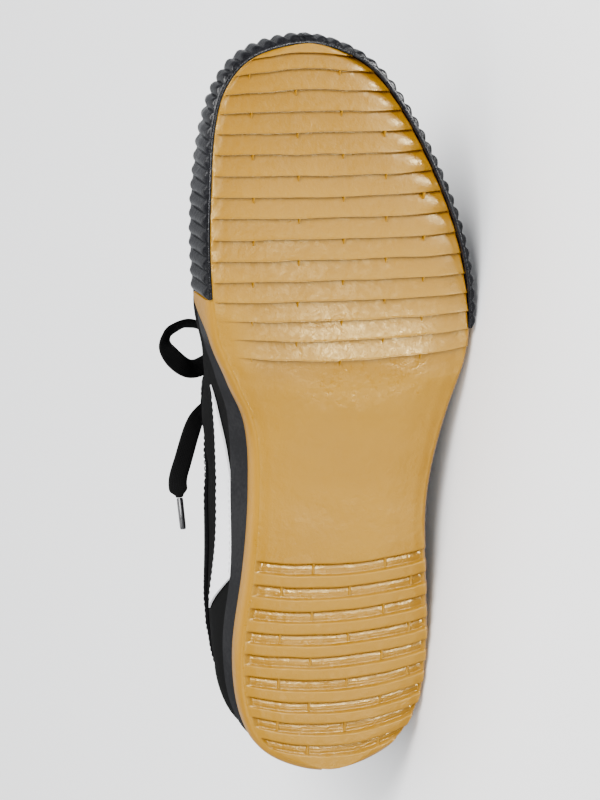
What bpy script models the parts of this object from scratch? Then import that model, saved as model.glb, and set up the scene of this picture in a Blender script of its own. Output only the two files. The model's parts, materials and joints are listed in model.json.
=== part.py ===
"""Low lace-up canvas shoe for the left foot: a black cotton upper on a ribbed gum-rubber outsole.

The shoe is drawn standing, in its own axes: +X to the toe, +Y to the outer side, +Z up, with the
back of the outsole at x = 0 and the floor at z = 0. The last step lays it on its outer side, in
metres, with +Z up and the origin under the middle of the solids.
"""

import bpy
import bmesh
import math
from functools import lru_cache

import numpy as np
from mathutils import Matrix, Vector

# Driving sizes of the outsole, in metres
LENGTH = 0.283
BALL_WIDTH = 0.1062
WAIST_WIDTH = 0.0703
HEEL_WIDTH = 0.0779
TOE_SPRING = 0.015
ARCH_RISE = 0.0025
SOLE_THICKNESS = 0.0060
EDGE_ROLL = 0.0022
CROWN = 0.0012
LIP_HEIGHT = 0.0085
LIP_THICKNESS = 0.0009

# Tread relief
RIB_DEPTH = 0.0014
FORE_PITCH = 0.0079
FORE_COUNT = 16
FORE_FIRST = 0.2795
FORE_TIP_PITCH = 0.0060
HEEL_PITCH = 0.0093
HEEL_COUNT = 9
HEEL_FIRST = 0.0846

# Rubber bands round the sole
FOXING_HEIGHT = 0.0238
FOXING_THICKNESS = 0.0018
FOXING_RIDGES = 4
FOXING_RIDGE_DEPTH = 0.0005
GUARD_HEIGHT = 0.0215
GUARD_BASE = 0.0016
FLUTE_PITCH = 0.0053
FLUTE_DEPTH = 0.0016
GUARD_INNER_END = 0.666
GUARD_OUTER_END = 0.613

# Upper
WALL = 0.0020
HEEL_HEIGHT = 0.080
COLLAR_HEIGHT = 0.063
INSTEP_HEIGHT = 0.092
TOE_HEIGHT = 0.050
COLLAR_WIDTH = 0.066
ARCH_FLARE = 0.0036
COUNTER_BULGE = 0.0065
THROAT_FRONT = 0.675
THROAT_TOP = 0.450

# Trim on the upper
OVERLAY = 0.0008
EYESTAY_WIDTH = 0.017
HEEL_STRIP_WIDTH = 0.024
BAND_WIDTH = 0.017
BAND_GAP = 0.0015
BAND_FRONT = 0.535
BAND_REAR = 0.215
BAND_SLANT = 0.045
BINDING_DEPTH = 0.006
INSOLE_THICKNESS = 0.0040
TONGUE_THICKNESS = 0.0022
TONGUE_LAP = 0.009
TONGUE_RISE = 0.016

# Laces
EYELET_PAIRS = 6
EYELET_INSET = 0.0085
EYELET_RADIUS = 0.0042
EYELET_HOLE = 0.0021
EYELET_THICKNESS = 0.0009
LACE_WIDTH = 0.0075
LACE_THICKNESS = 0.0014
LACE_PINCH = 0.6
LACE_TUBE = 0.0038
KNOT_DIAMETER = 0.0090
KNOT_LENGTH = 0.0140
TIP_DIAMETER = 0.0026
TIP_LENGTH = 0.0125

# Clearance between pieces that touch, and between curved ones
GAP = 0.0003
SKIN_GAP = 0.0005

INNER, OUTER = -1, 1

# Outline of the sole at its widest level, once round from the heel's back along the inner side.
# Columns: share of LENGTH, distance to the outer side.
OUTLINE = (
    (0.000, 0.00 * HEEL_WIDTH),
    (0.028, -0.31 * HEEL_WIDTH),
    (0.085, -0.455 * HEEL_WIDTH),
    (0.177, -0.505 * HEEL_WIDTH),
    (0.290, -0.515 * WAIST_WIDTH),
    (0.400, -0.485 * WAIST_WIDTH),
    (0.488, -0.515 * WAIST_WIDTH),
    (0.551, -0.418 * BALL_WIDTH),
    (0.622, -0.497 * BALL_WIDTH),
    (0.724, -0.527 * BALL_WIDTH),
    (0.820, -0.521 * BALL_WIDTH),
    (0.890, -0.502 * BALL_WIDTH),
    (0.943, -0.454 * BALL_WIDTH),
    (0.982, -0.348 * BALL_WIDTH),
    (1.000, -0.175 * BALL_WIDTH),
    (0.994, -0.028 * BALL_WIDTH),
    (0.965, 0.115 * BALL_WIDTH),
    (0.908, 0.231 * BALL_WIDTH),
    (0.823, 0.347 * BALL_WIDTH),
    (0.742, 0.429 * BALL_WIDTH),
    (0.657, 0.475 * BALL_WIDTH),
    (0.583, 0.471 * BALL_WIDTH),
    (0.505, 0.414 * BALL_WIDTH),
    (0.424, 0.549 * WAIST_WIDTH),
    (0.346, 0.514 * WAIST_WIDTH),
    (0.247, 0.537 * WAIST_WIDTH),
    (0.170, 0.497 * HEEL_WIDTH),
    (0.088, 0.462 * HEEL_WIDTH),
    (0.028, 0.31 * HEEL_WIDTH),
)

# How far a rib's ends lie ahead of its middle. Columns: share of LENGTH, share of half the width.
RIB_BOW = (
    (0.00, 0.20), (0.05, 0.18), (0.16, 0.105), (0.30, 0.09), (0.59, 0.066),
    (0.66, 0.015), (0.80, 0.012), (0.91, -0.02), (0.97, -0.088), (1.00, -0.09),
)

# Top edge of each side: the toe's ridge, then the throat, then the collar.
# Columns: share of LENGTH at the foot, share of LENGTH at the top, middle of the shoe, half of the
# gap, height, angle of the wall at its top edge in degrees, length of the curve's handles.
TOPLINE = (
    (0.000, 0.022, 0.000 * BALL_WIDTH, 0.000 * COLLAR_WIDTH, 1.000 * HEEL_HEIGHT, 84, 0.36),
    (0.030, 0.038, 0.000 * BALL_WIDTH, 0.215 * COLLAR_WIDTH, 0.985 * HEEL_HEIGHT, 84, 0.36),
    (0.100, 0.094, 0.000 * BALL_WIDTH, 0.385 * COLLAR_WIDTH, 0.900 * HEEL_HEIGHT, 82, 0.36),
    (0.180, 0.177, 0.000 * BALL_WIDTH, 0.475 * COLLAR_WIDTH, 1.050 * COLLAR_HEIGHT, 80, 0.36),
    (0.270, 0.270, 0.000 * BALL_WIDTH, 0.500 * COLLAR_WIDTH, 1.000 * COLLAR_HEIGHT, 78, 0.37),
    (0.350, 0.357, -0.005 * BALL_WIDTH, 0.455 * COLLAR_WIDTH, 1.150 * COLLAR_HEIGHT, 70, 0.40),
    (0.410, 0.422, -0.010 * BALL_WIDTH, 0.370 * COLLAR_WIDTH, 0.930 * INSTEP_HEIGHT, 58, 0.44),
    (0.450, 0.462, -0.015 * BALL_WIDTH, 0.305 * COLLAR_WIDTH, 1.000 * INSTEP_HEIGHT, 48, 0.47),
    (0.500, 0.508, -0.020 * BALL_WIDTH, 0.265 * COLLAR_WIDTH, 0.957 * INSTEP_HEIGHT, 42, 0.50),
    (0.560, 0.564, -0.030 * BALL_WIDTH, 0.220 * COLLAR_WIDTH, 0.872 * INSTEP_HEIGHT, 34, 0.52),
    (0.620, 0.620, -0.040 * BALL_WIDTH, 0.165 * COLLAR_WIDTH, 0.787 * INSTEP_HEIGHT, 24, 0.54),
    (0.655, 0.653, -0.045 * BALL_WIDTH, 0.110 * COLLAR_WIDTH, 0.742 * INSTEP_HEIGHT, 14, 0.55),
    (0.675, 0.672, -0.050 * BALL_WIDTH, 0.000 * COLLAR_WIDTH, 0.718 * INSTEP_HEIGHT, 0, 0.55),
    (0.720, 0.713, -0.060 * BALL_WIDTH, 0.000 * COLLAR_WIDTH, 1.220 * TOE_HEIGHT, 0, 0.55),
    (0.800, 0.786, -0.085 * BALL_WIDTH, 0.000 * COLLAR_WIDTH, 1.100 * TOE_HEIGHT, 0, 0.55),
    (0.900, 0.873, -0.120 * BALL_WIDTH, 0.000 * COLLAR_WIDTH, 1.000 * TOE_HEIGHT, 0, 0.55),
    (0.970, 0.926, -0.145 * BALL_WIDTH, 0.000 * COLLAR_WIDTH, 0.945 * TOE_HEIGHT, 0, 0.55),
    (1.000, 0.945, -0.155 * BALL_WIDTH, 0.000 * COLLAR_WIDTH, 0.915 * TOE_HEIGHT, 0, 0.55),
)

# Routes of the bow's free parts from the knot's middle. Columns: forward, to the side, up, in mm.
LOOP_INNER = (
    (5.0, 5.3, -2.5), (7.5, 12.0, -4.0), (10.0, 22.0, -8.0), (12.5, 29.0, -11.0),
    (13.6, 35.5, -14.7), (11.6, 42.4, -18.7), (6.9, 44.3, -20.7), (2.3, 41.6, -20.7),
    (-3.1, 35.1, -17.5), (-5.6, 27.5, -9.5), (-4.4, 18.0, -1.2), (-1.6, 11.0, 1.2),
    (-0.4, 5.3, 0.2),
)
TAIL_INNER = (
    (-5.8, 5.3, 2.9), (-11.5, 9.0, 4.0), (-20.0, 15.2, 1.5), (-23.5, 22.0, -5.0),
    (-27.1, 30.5, -16.5), (-38.3, 37.6, -26.2), (-45.6, 41.0, -30.5), (-51.7, 41.0, -33.5),
)
LOOP_OUTER = (
    (5.0, 5.3, -2.5), (8.5, 12.0, -2.0), (13.5, 22.0, -1.0), (16.5, 33.0, -4.0),
    (13.0, 41.5, -7.0), (5.0, 43.5, -9.0), (-1.5, 36.0, -7.0), (-3.0, 22.0, -2.5),
    (-1.8, 12.0, 0.0), (-0.4, 5.3, 0.2),
)
TAIL_OUTER = (
    (-5.8, 5.3, 2.9), (-10.0, 12.0, 3.5), (-16.0, 22.0, 1.5), (-24.0, 30.5, -4.0),
    (-34.0, 36.0, -9.5), (-45.0, 39.0, -11.0), (-54.0, 39.4, -12.0),
)

# Colours as linear RGB, with roughness
GUM = ((0.64, 0.38, 0.13), 0.42)
GREY_RUBBER = ((0.035, 0.038, 0.042), 0.60)
BLACK_RUBBER = ((0.012, 0.013, 0.016), 0.40)
BLACK_CANVAS = ((0.010, 0.010, 0.011), 0.90)
WHITE_CANVAS = ((0.80, 0.80, 0.81), 0.85)
LINING = ((0.62, 0.58, 0.50), 0.90)
BLACK_LACE = ((0.008, 0.008, 0.009), 0.85)
BLACK_METAL = ((0.020, 0.020, 0.022), 0.35)


def smooth(x, rows, column):
    """Cubic through one column of a table whose first column rises."""
    table = np.array(rows, float)
    return cubic(x, table[:, 0], table[:, column])


def cubic(x, xs, ys):
    slopes = np.gradient(ys, xs)
    x = np.clip(x, xs[0], xs[-1])
    k = np.clip(np.searchsorted(xs, x) - 1, 0, len(xs) - 2)
    step = xs[k + 1] - xs[k]
    t = (x - xs[k]) / step
    ends = (1 + 2 * t) * (1 - t) ** 2 * ys[k] + t * t * (3 - 2 * t) * ys[k + 1]
    return ends + step * t * (1 - t) * ((1 - t) * slopes[k] - t * slopes[k + 1])


def ease(x, low, high):
    """0 below low, 1 above high, with a soft start and stop."""
    t = np.clip((x - low) / (high - low), 0, 1)
    return t * t * (3 - 2 * t)


def closed_curve(points, steps=40):
    """Catmull-Rom curve through the points of a closed outline."""
    points = np.array(points, float)
    t = np.linspace(0, 1, steps, endpoint=False)[:, None]
    curve = []
    for k in range(len(points)):
        a, b, c, d = (points[(k + j) % len(points)] for j in (-1, 0, 1, 2))
        curve.append(
            b + 0.5 * t * (c - a + t * (2 * a - 5 * b + 4 * c - d + t * (3 * (b - c) + d - a)))
        )
    return np.concatenate(curve)


def outline_sides():
    """Points and outward normals of the inner and the outer side, each from heel to toe."""
    curve = closed_curve([(share * LENGTH, y) for share, y in OUTLINE])
    along = np.roll(curve, -1, 0) - np.roll(curve, 1, 0)
    normal = np.stack([along[:, 1], -along[:, 0]], 1)
    normal *= -1 / np.linalg.norm(normal, axis=1)[:, None]
    heel, toe = int(curve[:, 0].argmin()), int(curve[:, 0].argmax())
    order = {
        INNER: np.arange(heel, heel + (toe - heel) % len(curve) + 1) % len(curve),
        OUTER: np.arange(heel, heel - (heel - toe) % len(curve) - 1, -1) % len(curve),
    }
    sides = {}
    for side, index in order.items():
        points, normals = curve[index], normal[index]
        if normals[len(index) // 2][1] * side < 0:
            normals = -normals
        sides[side] = (np.maximum.accumulate(points[:, 0]), points, normals)
    return sides


SIDES = outline_sides()


@lru_cache(maxsize=None)
def foot_base(side, share):
    """Plan position on the outline and its outward normal."""
    xs, points, normals = SIDES[side]
    count = np.arange(len(xs))
    at = np.interp(xs[0] + share * (xs[-1] - xs[0]), xs, count)
    x, y, across, along = (np.interp(at, count, column) for column in (*points.T, *normals.T))
    length = math.hypot(across, along)
    return np.array([x, y]), np.array([across, along]) / length


def foot(side, share, out=0.0):
    """Plan position on the outline, moved outwards by out."""
    point, normal = foot_base(side, float(share))
    return point + out * normal


def ground(x):
    """Height of the tread over the floor: toe spring and arch."""
    share = x / LENGTH
    spring = TOE_SPRING * np.clip((share - 0.677) / 0.323, 0, 1) ** 1.9
    arch = ARCH_RISE * ease(share, 0.30, 0.42) * (1 - ease(share, 0.47, 0.58))
    return spring + arch


def in_guard(side, share):
    return share > (GUARD_INNER_END if side == INNER else GUARD_OUTER_END)


def flare(side, share, height):
    """How far the wall leans out above the sole, most at the inner arch and the counter."""
    arch = ARCH_FLARE * ease(share, 0.24, 0.40) * (1 - ease(share, 0.46, 0.60))
    rise = max(height - LIP_HEIGHT, 0) / (FOXING_HEIGHT - LIP_HEIGHT)
    return (arch if side == INNER else 0.3 * arch) * rise


def band_height(side, share):
    """Height of the rubber band over the tread."""
    end = GUARD_INNER_END if side == INNER else GUARD_OUTER_END
    return FOXING_HEIGHT + (GUARD_HEIGHT - FOXING_HEIGHT) * ease(share, end - 0.10, end)


UPPER_OUT = -(LIP_THICKNESS + GAP + FOXING_THICKNESS + GAP)
RIM_HEIGHT = SOLE_THICKNESS + GAP


def seat(side, share, height):
    """Point of the upper's outer face behind the rubber band."""
    x, y = foot(side, share, UPPER_OUT + flare(side, share, height))
    return np.array([x, y, ground(x) + height])


GAP_COLUMN = 3


@lru_cache(maxsize=None)
def topline_row(share):
    """The topline's columns at one share, read by angle so both round ends stay round."""
    table = np.array(TOPLINE)
    angles = np.arccos(1 - 2 * table[:, 0])
    angles = np.concatenate([[-angles[1]], angles, [2 * math.pi - angles[-2]]])
    table = np.concatenate([table[1:2], table, table[-2:-1]])
    table[0, GAP_COLUMN] *= -1
    angle = math.acos(np.clip(1 - 2 * share, -1, 1))
    row = [float(cubic(angle, angles, column)) for column in table.T]
    row[GAP_COLUMN] = max(row[GAP_COLUMN], 0.0) if share < THROAT_FRONT else 0.0
    return row


def top_edge(side, share):
    """Top edge of one side of the upper."""
    _, top, middle, gap, height, _, _ = topline_row(share)
    return np.array([top * LENGTH, middle + side * gap, height])


@lru_cache(maxsize=None)
def wall_curve(side, share):
    """Four control points of the wall from the rubber band to the top edge."""
    low = seat(side, share, band_height(side, share))
    top = top_edge(side, share)
    angle = math.radians(topline_row(share)[5])
    hold = topline_row(share)[6]
    rise = top[2] - low[2]
    away = np.array([low[0] - top[0], low[1] - top[1], 0.0])
    reach = max(np.linalg.norm(away), 1e-6)
    away /= reach
    outward = foot_normal(side, share)
    bulge = COUNTER_BULGE * (1 - ease(share, 0.10, 0.40)) + 0.3 * flare(side, share, FOXING_HEIGHT)
    near = low + np.array([0, 0, hold * rise]) + outward * bulge
    span = hold * (reach * math.cos(angle) + rise * math.sin(angle))
    far = top + span * (away * math.cos(angle) - np.array([0, 0, math.sin(angle)]))
    return low, near, far, top


def bezier(a, b, c, d, t):
    s = 1 - t
    return s**3 * a + 3 * s * s * t * b + 3 * s * t * t * c + t**3 * d


def wall_point(side, share, v):
    """Outer face of the upper: v is 0 at the rubber band's top and 1 at the top edge."""
    return bezier(*wall_curve(side, float(share)), v)


def wall_frame(side, share, v):
    """Point, outward normal and upward direction of the upper's outer face."""
    nudge = 1e-3
    up = wall_point(side, share, min(v + nudge, 1)) - wall_point(side, share, max(v - nudge, 0))
    # Near the tips the outline turns fast, so the step along it follows an angle, not a share.
    angle = math.acos(np.clip(2 * share - 1, -1, 1))
    ahead, behind = (
        (1 + math.cos(np.clip(angle + turn, 0, math.pi))) / 2 for turn in (-nudge, nudge)
    )
    along = wall_point(side, ahead, v) - wall_point(side, behind, v)
    up /= np.linalg.norm(up)
    normal = np.cross(along, up) * side
    normal /= np.linalg.norm(normal)
    if normal @ (foot_normal(side, share) + np.array([0, 0, 1.0])) < 0:
        normal = -normal
    return wall_point(side, share, v), normal, up


def foot_normal(side, share):
    across, along = foot_base(side, float(share))[1]
    return np.array([across, along, 0.0])


@lru_cache(maxsize=None)
def wall_walk(side, share):
    """Values of v up the wall, with the length walked to each."""
    v = np.linspace(0, 1, 60)[:, None]
    points = bezier(*wall_curve(side, share), v)
    steps = np.linalg.norm(np.diff(points, axis=0), axis=1)
    return v[:, 0], np.concatenate([[0], np.cumsum(steps)])


def v_at(side, share, distance):
    """The v whose point lies this far along the wall below the top edge."""
    v, walked = wall_walk(side, float(share))
    return float(np.interp(walked[-1] - distance, walked, v))


def v_above(side, share, distance):
    """The v whose point lies this far along the wall above the rubber band."""
    v, walked = wall_walk(side, float(share))
    return float(np.interp(distance, walked, v))


def even_shares(count):
    """Shares of the length from heel to toe, closer together at both round ends."""
    return (1 - np.cos(np.linspace(0, math.pi, count))) / 2


STATIONS = np.sort([*even_shares(31), 0.474, 0.526])


def material(name, colour, roughness, metallic=0.0):
    made = bpy.data.materials.new(name)
    made.use_nodes = True
    shader = made.node_tree.nodes["Principled BSDF"]
    shader.inputs["Base Color"].default_value = (*colour, 1)
    shader.inputs["Roughness"].default_value = roughness
    shader.inputs["Metallic"].default_value = metallic
    return made


def add_mesh(name, points, faces, look, metallic=0.0):
    mesh = bpy.data.meshes.new(name)
    mesh.from_pydata([tuple(p) for p in points], [], faces)
    shape = bmesh.new()
    shape.from_mesh(mesh)
    bmesh.ops.recalc_face_normals(shape, faces=shape.faces)
    if shape.calc_volume(signed=True) < 0:
        bmesh.ops.reverse_faces(shape, faces=shape.faces)
    shape.to_mesh(mesh)
    shape.free()
    mesh.shade_smooth()
    mesh.set_sharp_from_angle(angle=math.radians(35))
    made = bpy.data.objects.new(name, mesh)
    made.data.materials.append(material(name, *look, metallic))
    bpy.context.scene.collection.objects.link(made)
    return made


def add_rings(name, rings, look, closed=False, metallic=0.0):
    """Solid through cross-sections of equally many points, capped unless the run is closed."""
    rings = [np.array(ring) for ring in rings]
    size, count = len(rings[0]), len(rings)
    faces = []
    for i in range(count if closed else count - 1):
        a, b = i * size, (i + 1) % count * size
        for j in range(size):
            k = (j + 1) % size
            faces.append((a + j, a + k, b + k, b + j))
    if not closed:
        faces.append(tuple(range(size)))
        faces.append(tuple((count - 1) * size + j for j in reversed(range(size))))
    return add_mesh(name, np.concatenate(rings), faces, look, metallic)


# Outsole

def rib_bow(share):
    half = (foot(OUTER, share)[1] - foot(INNER, share)[1]) / 2
    return smooth(share, RIB_BOW, 1) * half


def relief_rows():
    """Turns of the tread's relief. Columns: x at the middle, height of the relief from 0 to 1."""
    rows = [(LENGTH, 0.7)]
    crease = FORE_FIRST
    for k in range(FORE_COUNT):
        rows += [(crease + 0.04 * FORE_PITCH, 1.0), (crease, 0.0)]
        pitch = FORE_TIP_PITCH if k == 0 else FORE_PITCH
        last = k == FORE_COUNT - 1
        rows.append((crease - (1.4 if last else 0.60) * pitch, 1.0))
        crease -= pitch
    for k in range(HEEL_COUNT):
        groove = HEEL_FIRST - k * HEEL_PITCH
        if groove < 0.5 * HEEL_PITCH:
            break
        for part, height in ((0.0, 1.0), (0.09, 0.0), (0.46, 0.0), (0.55, 1.0)):
            rows.append((groove - part * HEEL_PITCH, height))
    rows.append((0.0, 1.0))
    return sorted(rows)


def outsole_stations():
    """Shares of the length for the outsole's cross-sections, with the relief at each."""
    rows = relief_rows()
    dense = np.linspace(0.0, 1.0, 2001)
    middle = np.maximum.accumulate([share * LENGTH - rib_bow(share) for share in dense])
    shares = {float(np.interp(x, middle, dense)) for x, _ in rows}
    shares |= {s for s in STATIONS if s < 0.05 or s > 0.97}
    shares |= {0.33, 0.37, 0.41, 0.45, 0.49, 0.53}
    for end in (GUARD_INNER_END, GUARD_OUTER_END):
        shares |= {end - 0.001, end + 0.001}
    kept = []
    for share in sorted(shares):
        if 0.0006 < share < 0.9994 and (not kept or share - kept[-1] > 0.0006):
            kept.append(share)
    heights = np.interp([np.interp(s, dense, middle) for s in kept], *zip(*rows))
    return list(zip(kept, heights))


def sole_wall(side, share, relief):
    """Side of the outsole, from the plate's top over the lip and down to the tread's edge."""
    if in_guard(side, share):
        edge = -EDGE_ROLL
        rows = (
            (edge - 0.0014, SOLE_THICKNESS), (edge - 0.0007, SOLE_THICKNESS),
            (edge, SOLE_THICKNESS), (edge, 0.72 * SOLE_THICKNESS), (edge, 0.45 * SOLE_THICKNESS),
        )
    else:
        rows = (
            (-LIP_THICKNESS, SOLE_THICKNESS), (-LIP_THICKNESS, LIP_HEIGHT),
            (0.0, LIP_HEIGHT), (0.0, 0.6 * LIP_HEIGHT), (-0.35 * EDGE_ROLL, 0.28 * LIP_HEIGHT),
        )
    points = []
    for out, height in rows:
        x, y = foot(side, share, out)
        points.append((x, y, ground(x) + height))
    return points


def build_outsole(columns=4):
    rings = []
    for share, relief in outsole_stations():
        inner = foot(INNER, share, -EDGE_ROLL)
        outer = foot(OUTER, share, -EDGE_ROLL)
        bow = rib_bow(share)
        tread = []
        for q in np.linspace(-1, 1, columns + 1):
            x, y = inner + (outer - inner) * (q + 1) / 2
            x -= bow * (1 - q * q)
            lift = CROWN * ease(abs(q), 0.5, 1.0)
            tread.append((x, y, ground(x) + RIB_DEPTH * (1 - relief) + lift))
        wall = sole_wall(OUTER, share, relief)
        rings.append(sole_wall(INNER, share, relief) + tread + wall[::-1])
    return add_rings("outsole", rings, GUM)


# Rubber bands

def build_foxing():
    """Fine-ribbed band round the waist and heel, on the sole's plate and behind its lip."""
    outer_face = -(LIP_THICKNESS + GAP)
    inner_face = outer_face - FOXING_THICKNESS

    def section(side, share):
        top = band_height(side, share)
        ridged = np.linspace(LIP_HEIGHT + 0.0005, top - 0.0020, 2 * FOXING_RIDGES + 1)
        rows = [(outer_face, RIM_HEIGHT)]
        rows += [
            (outer_face + (FOXING_RIDGE_DEPTH if k % 2 else 0), z) for k, z in enumerate(ridged)
        ]
        rows += [(outer_face, top - 0.0006), (inner_face, top)]
        rows += [(inner_face, LIP_HEIGHT), (inner_face, RIM_HEIGHT)]
        points = []
        for out, height in rows:
            x, y = foot(side, share, out + flare(side, share, height))
            points.append((x, y, ground(x) + height))
        return points

    gap = 0.0015
    runs = []
    for side, end in ((INNER, GUARD_INNER_END - gap), (OUTER, GUARD_OUTER_END - gap)):
        shares = [s for s in STATIONS if s < end - 0.008] + [end]
        runs.append([section(side, s) for s in shares])
    return add_rings("foxing", runs[0][:0:-1] + runs[1], GREY_RUBBER)


def guard_run():
    """Sides and shares along the guard, from its inner end round the toe to its outer end."""
    gap = 0.0012
    dense = [(INNER, s) for s in np.linspace(GUARD_INNER_END + gap, 1, 400)]
    dense += [(OUTER, s) for s in np.linspace(1, GUARD_OUTER_END + gap, 400)[1:]]
    points = np.array([foot(side, share) for side, share in dense])
    walked = np.concatenate([[0], np.cumsum(np.linalg.norm(np.diff(points, axis=0), axis=1))])
    flutes = max(round(walked[-1] / FLUTE_PITCH), 8)
    stations = []
    for k in range(2 * flutes + 1):
        at = int(np.argmin(abs(walked - walked[-1] * k / (2 * flutes))))
        stations.append((*dense[at], k % 2))
    return stations


def build_guard():
    """Fluted toe guard: it laps over the plate's edge and stands on it."""
    beside = -EDGE_ROLL + GAP
    over = UPPER_OUT + GAP
    rings = []
    for side, share, crest in guard_run():
        valley = -EDGE_ROLL + GAP + GUARD_BASE
        out = valley + FLUTE_DEPTH * crest
        rows = (
            (beside, 0.0008), (beside, RIM_HEIGHT), (over, RIM_HEIGHT), (over, GUARD_HEIGHT),
            (valley - 0.0008, GUARD_HEIGHT), (out, GUARD_HEIGHT - 0.0030), (out, 0.0040),
            (valley, 0.0012),
        )
        ring = []
        for offset, height in rows:
            x, y = foot(side, share, offset + flare(side, share, height))
            ring.append((x, y, ground(x) + height))
        rings.append(ring)
    return add_rings("toe_guard", rings, BLACK_RUBBER)


# Upper

def wall_profile(side, share, rows):
    """Outer points of one station, from the rim on the sole to the top edge, with normals."""
    points, normals = [], []
    for height in (RIM_HEIGHT, LIP_HEIGHT):
        points.append(seat(side, share, height))
        normals.append(foot_normal(side, share))
    for v in [*np.linspace(0, v_at(side, share, BINDING_DEPTH), rows - 1), 1.0]:
        point, normal, _ = wall_frame(side, share, v)
        points.append(point)
        normals.append(foot_normal(side, share) if v == 0 else normal)
    return points, normals


def upper_shares():
    own = (THROAT_TOP, THROAT_FRONT - 0.030, THROAT_FRONT - 0.008, THROAT_FRONT)
    kept = [s for s in STATIONS if all(abs(s - k) > 0.012 for k in own)]
    return sorted([float(s) for s in kept] + list(own))


def build_upper(rows=9):
    """Hollow canvas upper of one even wall, open at the throat, the collar and underneath."""
    shares = upper_shares()
    points, outer, inner = [], {}, {}

    def store(table, key, point):
        table[key] = len(points)
        points.append(point)

    for side in (INNER, OUTER):
        for i, share in enumerate(shares):
            profile, normals = wall_profile(side, share, rows)
            last = len(profile) - 1
            for j, (point, normal) in enumerate(zip(profile, normals)):
                ridge = j == last and share >= THROAT_FRONT
                if side == OUTER and (share in (0, 1) or ridge):
                    outer[side, i, j] = outer[INNER, i, j]
                    inner[side, i, j] = inner[INNER, i, j]
                    continue
                if ridge or share in (0, 1):
                    normal = normal * (1, 0, 1) if j > 1 else normal * (1, 0, 0)
                    normal = normal / np.linalg.norm(normal)
                store(outer, (side, i, j), point)
                store(inner, (side, i, j), point - WALL * normal)
    faces = []
    top = rows + 1
    for side in (INNER, OUTER):
        for i in range(len(shares) - 1):
            for j in range(top):
                for table, turned in ((outer, side == OUTER), (inner, side == INNER)):
                    face = [
                        table[side, i, j], table[side, i + 1, j],
                        table[side, i + 1, j + 1], table[side, i, j + 1],
                    ]
                    faces.append(face[::-1] if turned else face)
            edges = [0] if shares[i] >= THROAT_FRONT else [0, top]
            for j in edges:
                faces.append([
                    outer[side, i, j], outer[side, i + 1, j],
                    inner[side, i + 1, j], inner[side, i, j],
                ])
    return add_mesh("upper", points, faces, BLACK_CANVAS)


def overlay_section(side, share, low, high, steps, lift=SKIN_GAP, thickness=OVERLAY):
    """Closed section of a strip that lies on the upper between two values of v."""
    inside, outside = [], []
    for v in np.linspace(low, high, steps):
        point, normal, _ = wall_frame(side, share, v)
        inside.append(point + lift * normal)
        outside.append(point + (lift + thickness) * normal)
    return inside + outside[::-1]


def build_eyestay(name, side):
    """Facing that carries the eyelets, from ahead of the throat to the collar's front corner."""
    front, rear = THROAT_FRONT + 0.028, THROAT_TOP + 0.004
    rings = []
    for share in [rear] + [s for s in upper_shares() if rear + 0.004 < s < front] + [front]:
        ahead = ease(share, THROAT_FRONT - 0.01, front)
        edge = 0.0006 if share < THROAT_FRONT else 0.0004
        width = EYESTAY_WIDTH * (1 - 0.55 * ahead)
        rings.append(overlay_section(
            side, share, v_at(side, share, width), v_at(side, share, edge), 5
        ))
    return add_rings(name, rings, BLACK_CANVAS)


def build_side_band(name, side):
    """Plain even white tape along the quarter, just over the rubber band."""
    rings = []
    for t in np.linspace(0, 1, 15):
        ring_in, ring_out = [], []
        for k in range(5):
            up = k / 4
            front = BAND_FRONT + BAND_SLANT * up
            rear = BAND_REAR - BAND_SLANT * up
            share = rear + (front - rear) * t
            v = v_above(side, share, BAND_GAP + BAND_WIDTH * up)
            point, normal, _ = wall_frame(side, share, v)
            ring_in.append(point + SKIN_GAP * normal)
            ring_out.append(point + (SKIN_GAP + OVERLAY) * normal)
        rings.append(ring_in + ring_out[::-1])
    return add_rings(name, rings, WHITE_CANVAS)


def heel_run(width, steps):
    """Sides and shares across the back of the heel, over a strip of this width."""
    dense = np.linspace(0, 0.12, 400)
    points = np.array([foot(OUTER, s, UPPER_OUT) for s in dense])
    walked = np.concatenate([[0], np.cumsum(np.linalg.norm(np.diff(points, axis=0), axis=1))])
    reach = np.interp(np.linspace(0, width / 2, steps), walked, dense)
    return [(INNER, s) for s in reach[:0:-1]] + [(OUTER, s) for s in reach]


def build_heel_strip():
    rings = []
    for side, share in heel_run(HEEL_STRIP_WIDTH, 4):
        low = v_above(side, share, 0.0006)
        high = v_at(side, share, BINDING_DEPTH + 0.0008)
        rings.append(overlay_section(side, share, low, high, 6))
    return add_rings("heel_strip", rings, BLACK_CANVAS)


def build_binding():
    """Tape folded over the collar's edge, from one corner of the throat round the heel."""
    shares = [s for s in upper_shares() if s < THROAT_TOP - 0.004]
    shares.append(THROAT_TOP - 0.003)
    run = [(INNER, s) for s in shares[:0:-1]] + [(OUTER, s) for s in shares]
    leg, far = GAP, GAP + OVERLAY
    rings = []
    for side, share in run:
        edge, normal, up = wall_frame(side, share, 1.0)
        v = v_at(side, share, BINDING_DEPTH)
        hem, hem_normal, _ = wall_frame(side, share, v)
        rings.append([
            hem + leg * hem_normal, hem + far * hem_normal,
            edge + far * up + far * normal, edge + far * up - (WALL + far) * normal,
            hem - (WALL + far) * hem_normal, hem - (WALL + leg) * hem_normal,
            edge + leg * up - (WALL + leg) * normal, edge + leg * up + leg * normal,
        ])
    return add_rings("collar_binding", rings, BLACK_CANVAS)


# Inside

def build_insole():
    out = UPPER_OUT - WALL - GAP
    low, high = SOLE_THICKNESS + GAP, SOLE_THICKNESS + GAP + INSOLE_THICKNESS
    rings = []
    for share in upper_shares()[1:-1]:
        ring = []
        for side, height in ((INNER, low), (INNER, high), (OUTER, high), (OUTER, low)):
            x, y = foot(side, share, out)
            ring.append((x, y, ground(x) + height))
        rings.append(ring)
    return add_rings("insole", rings, LINING)


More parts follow.
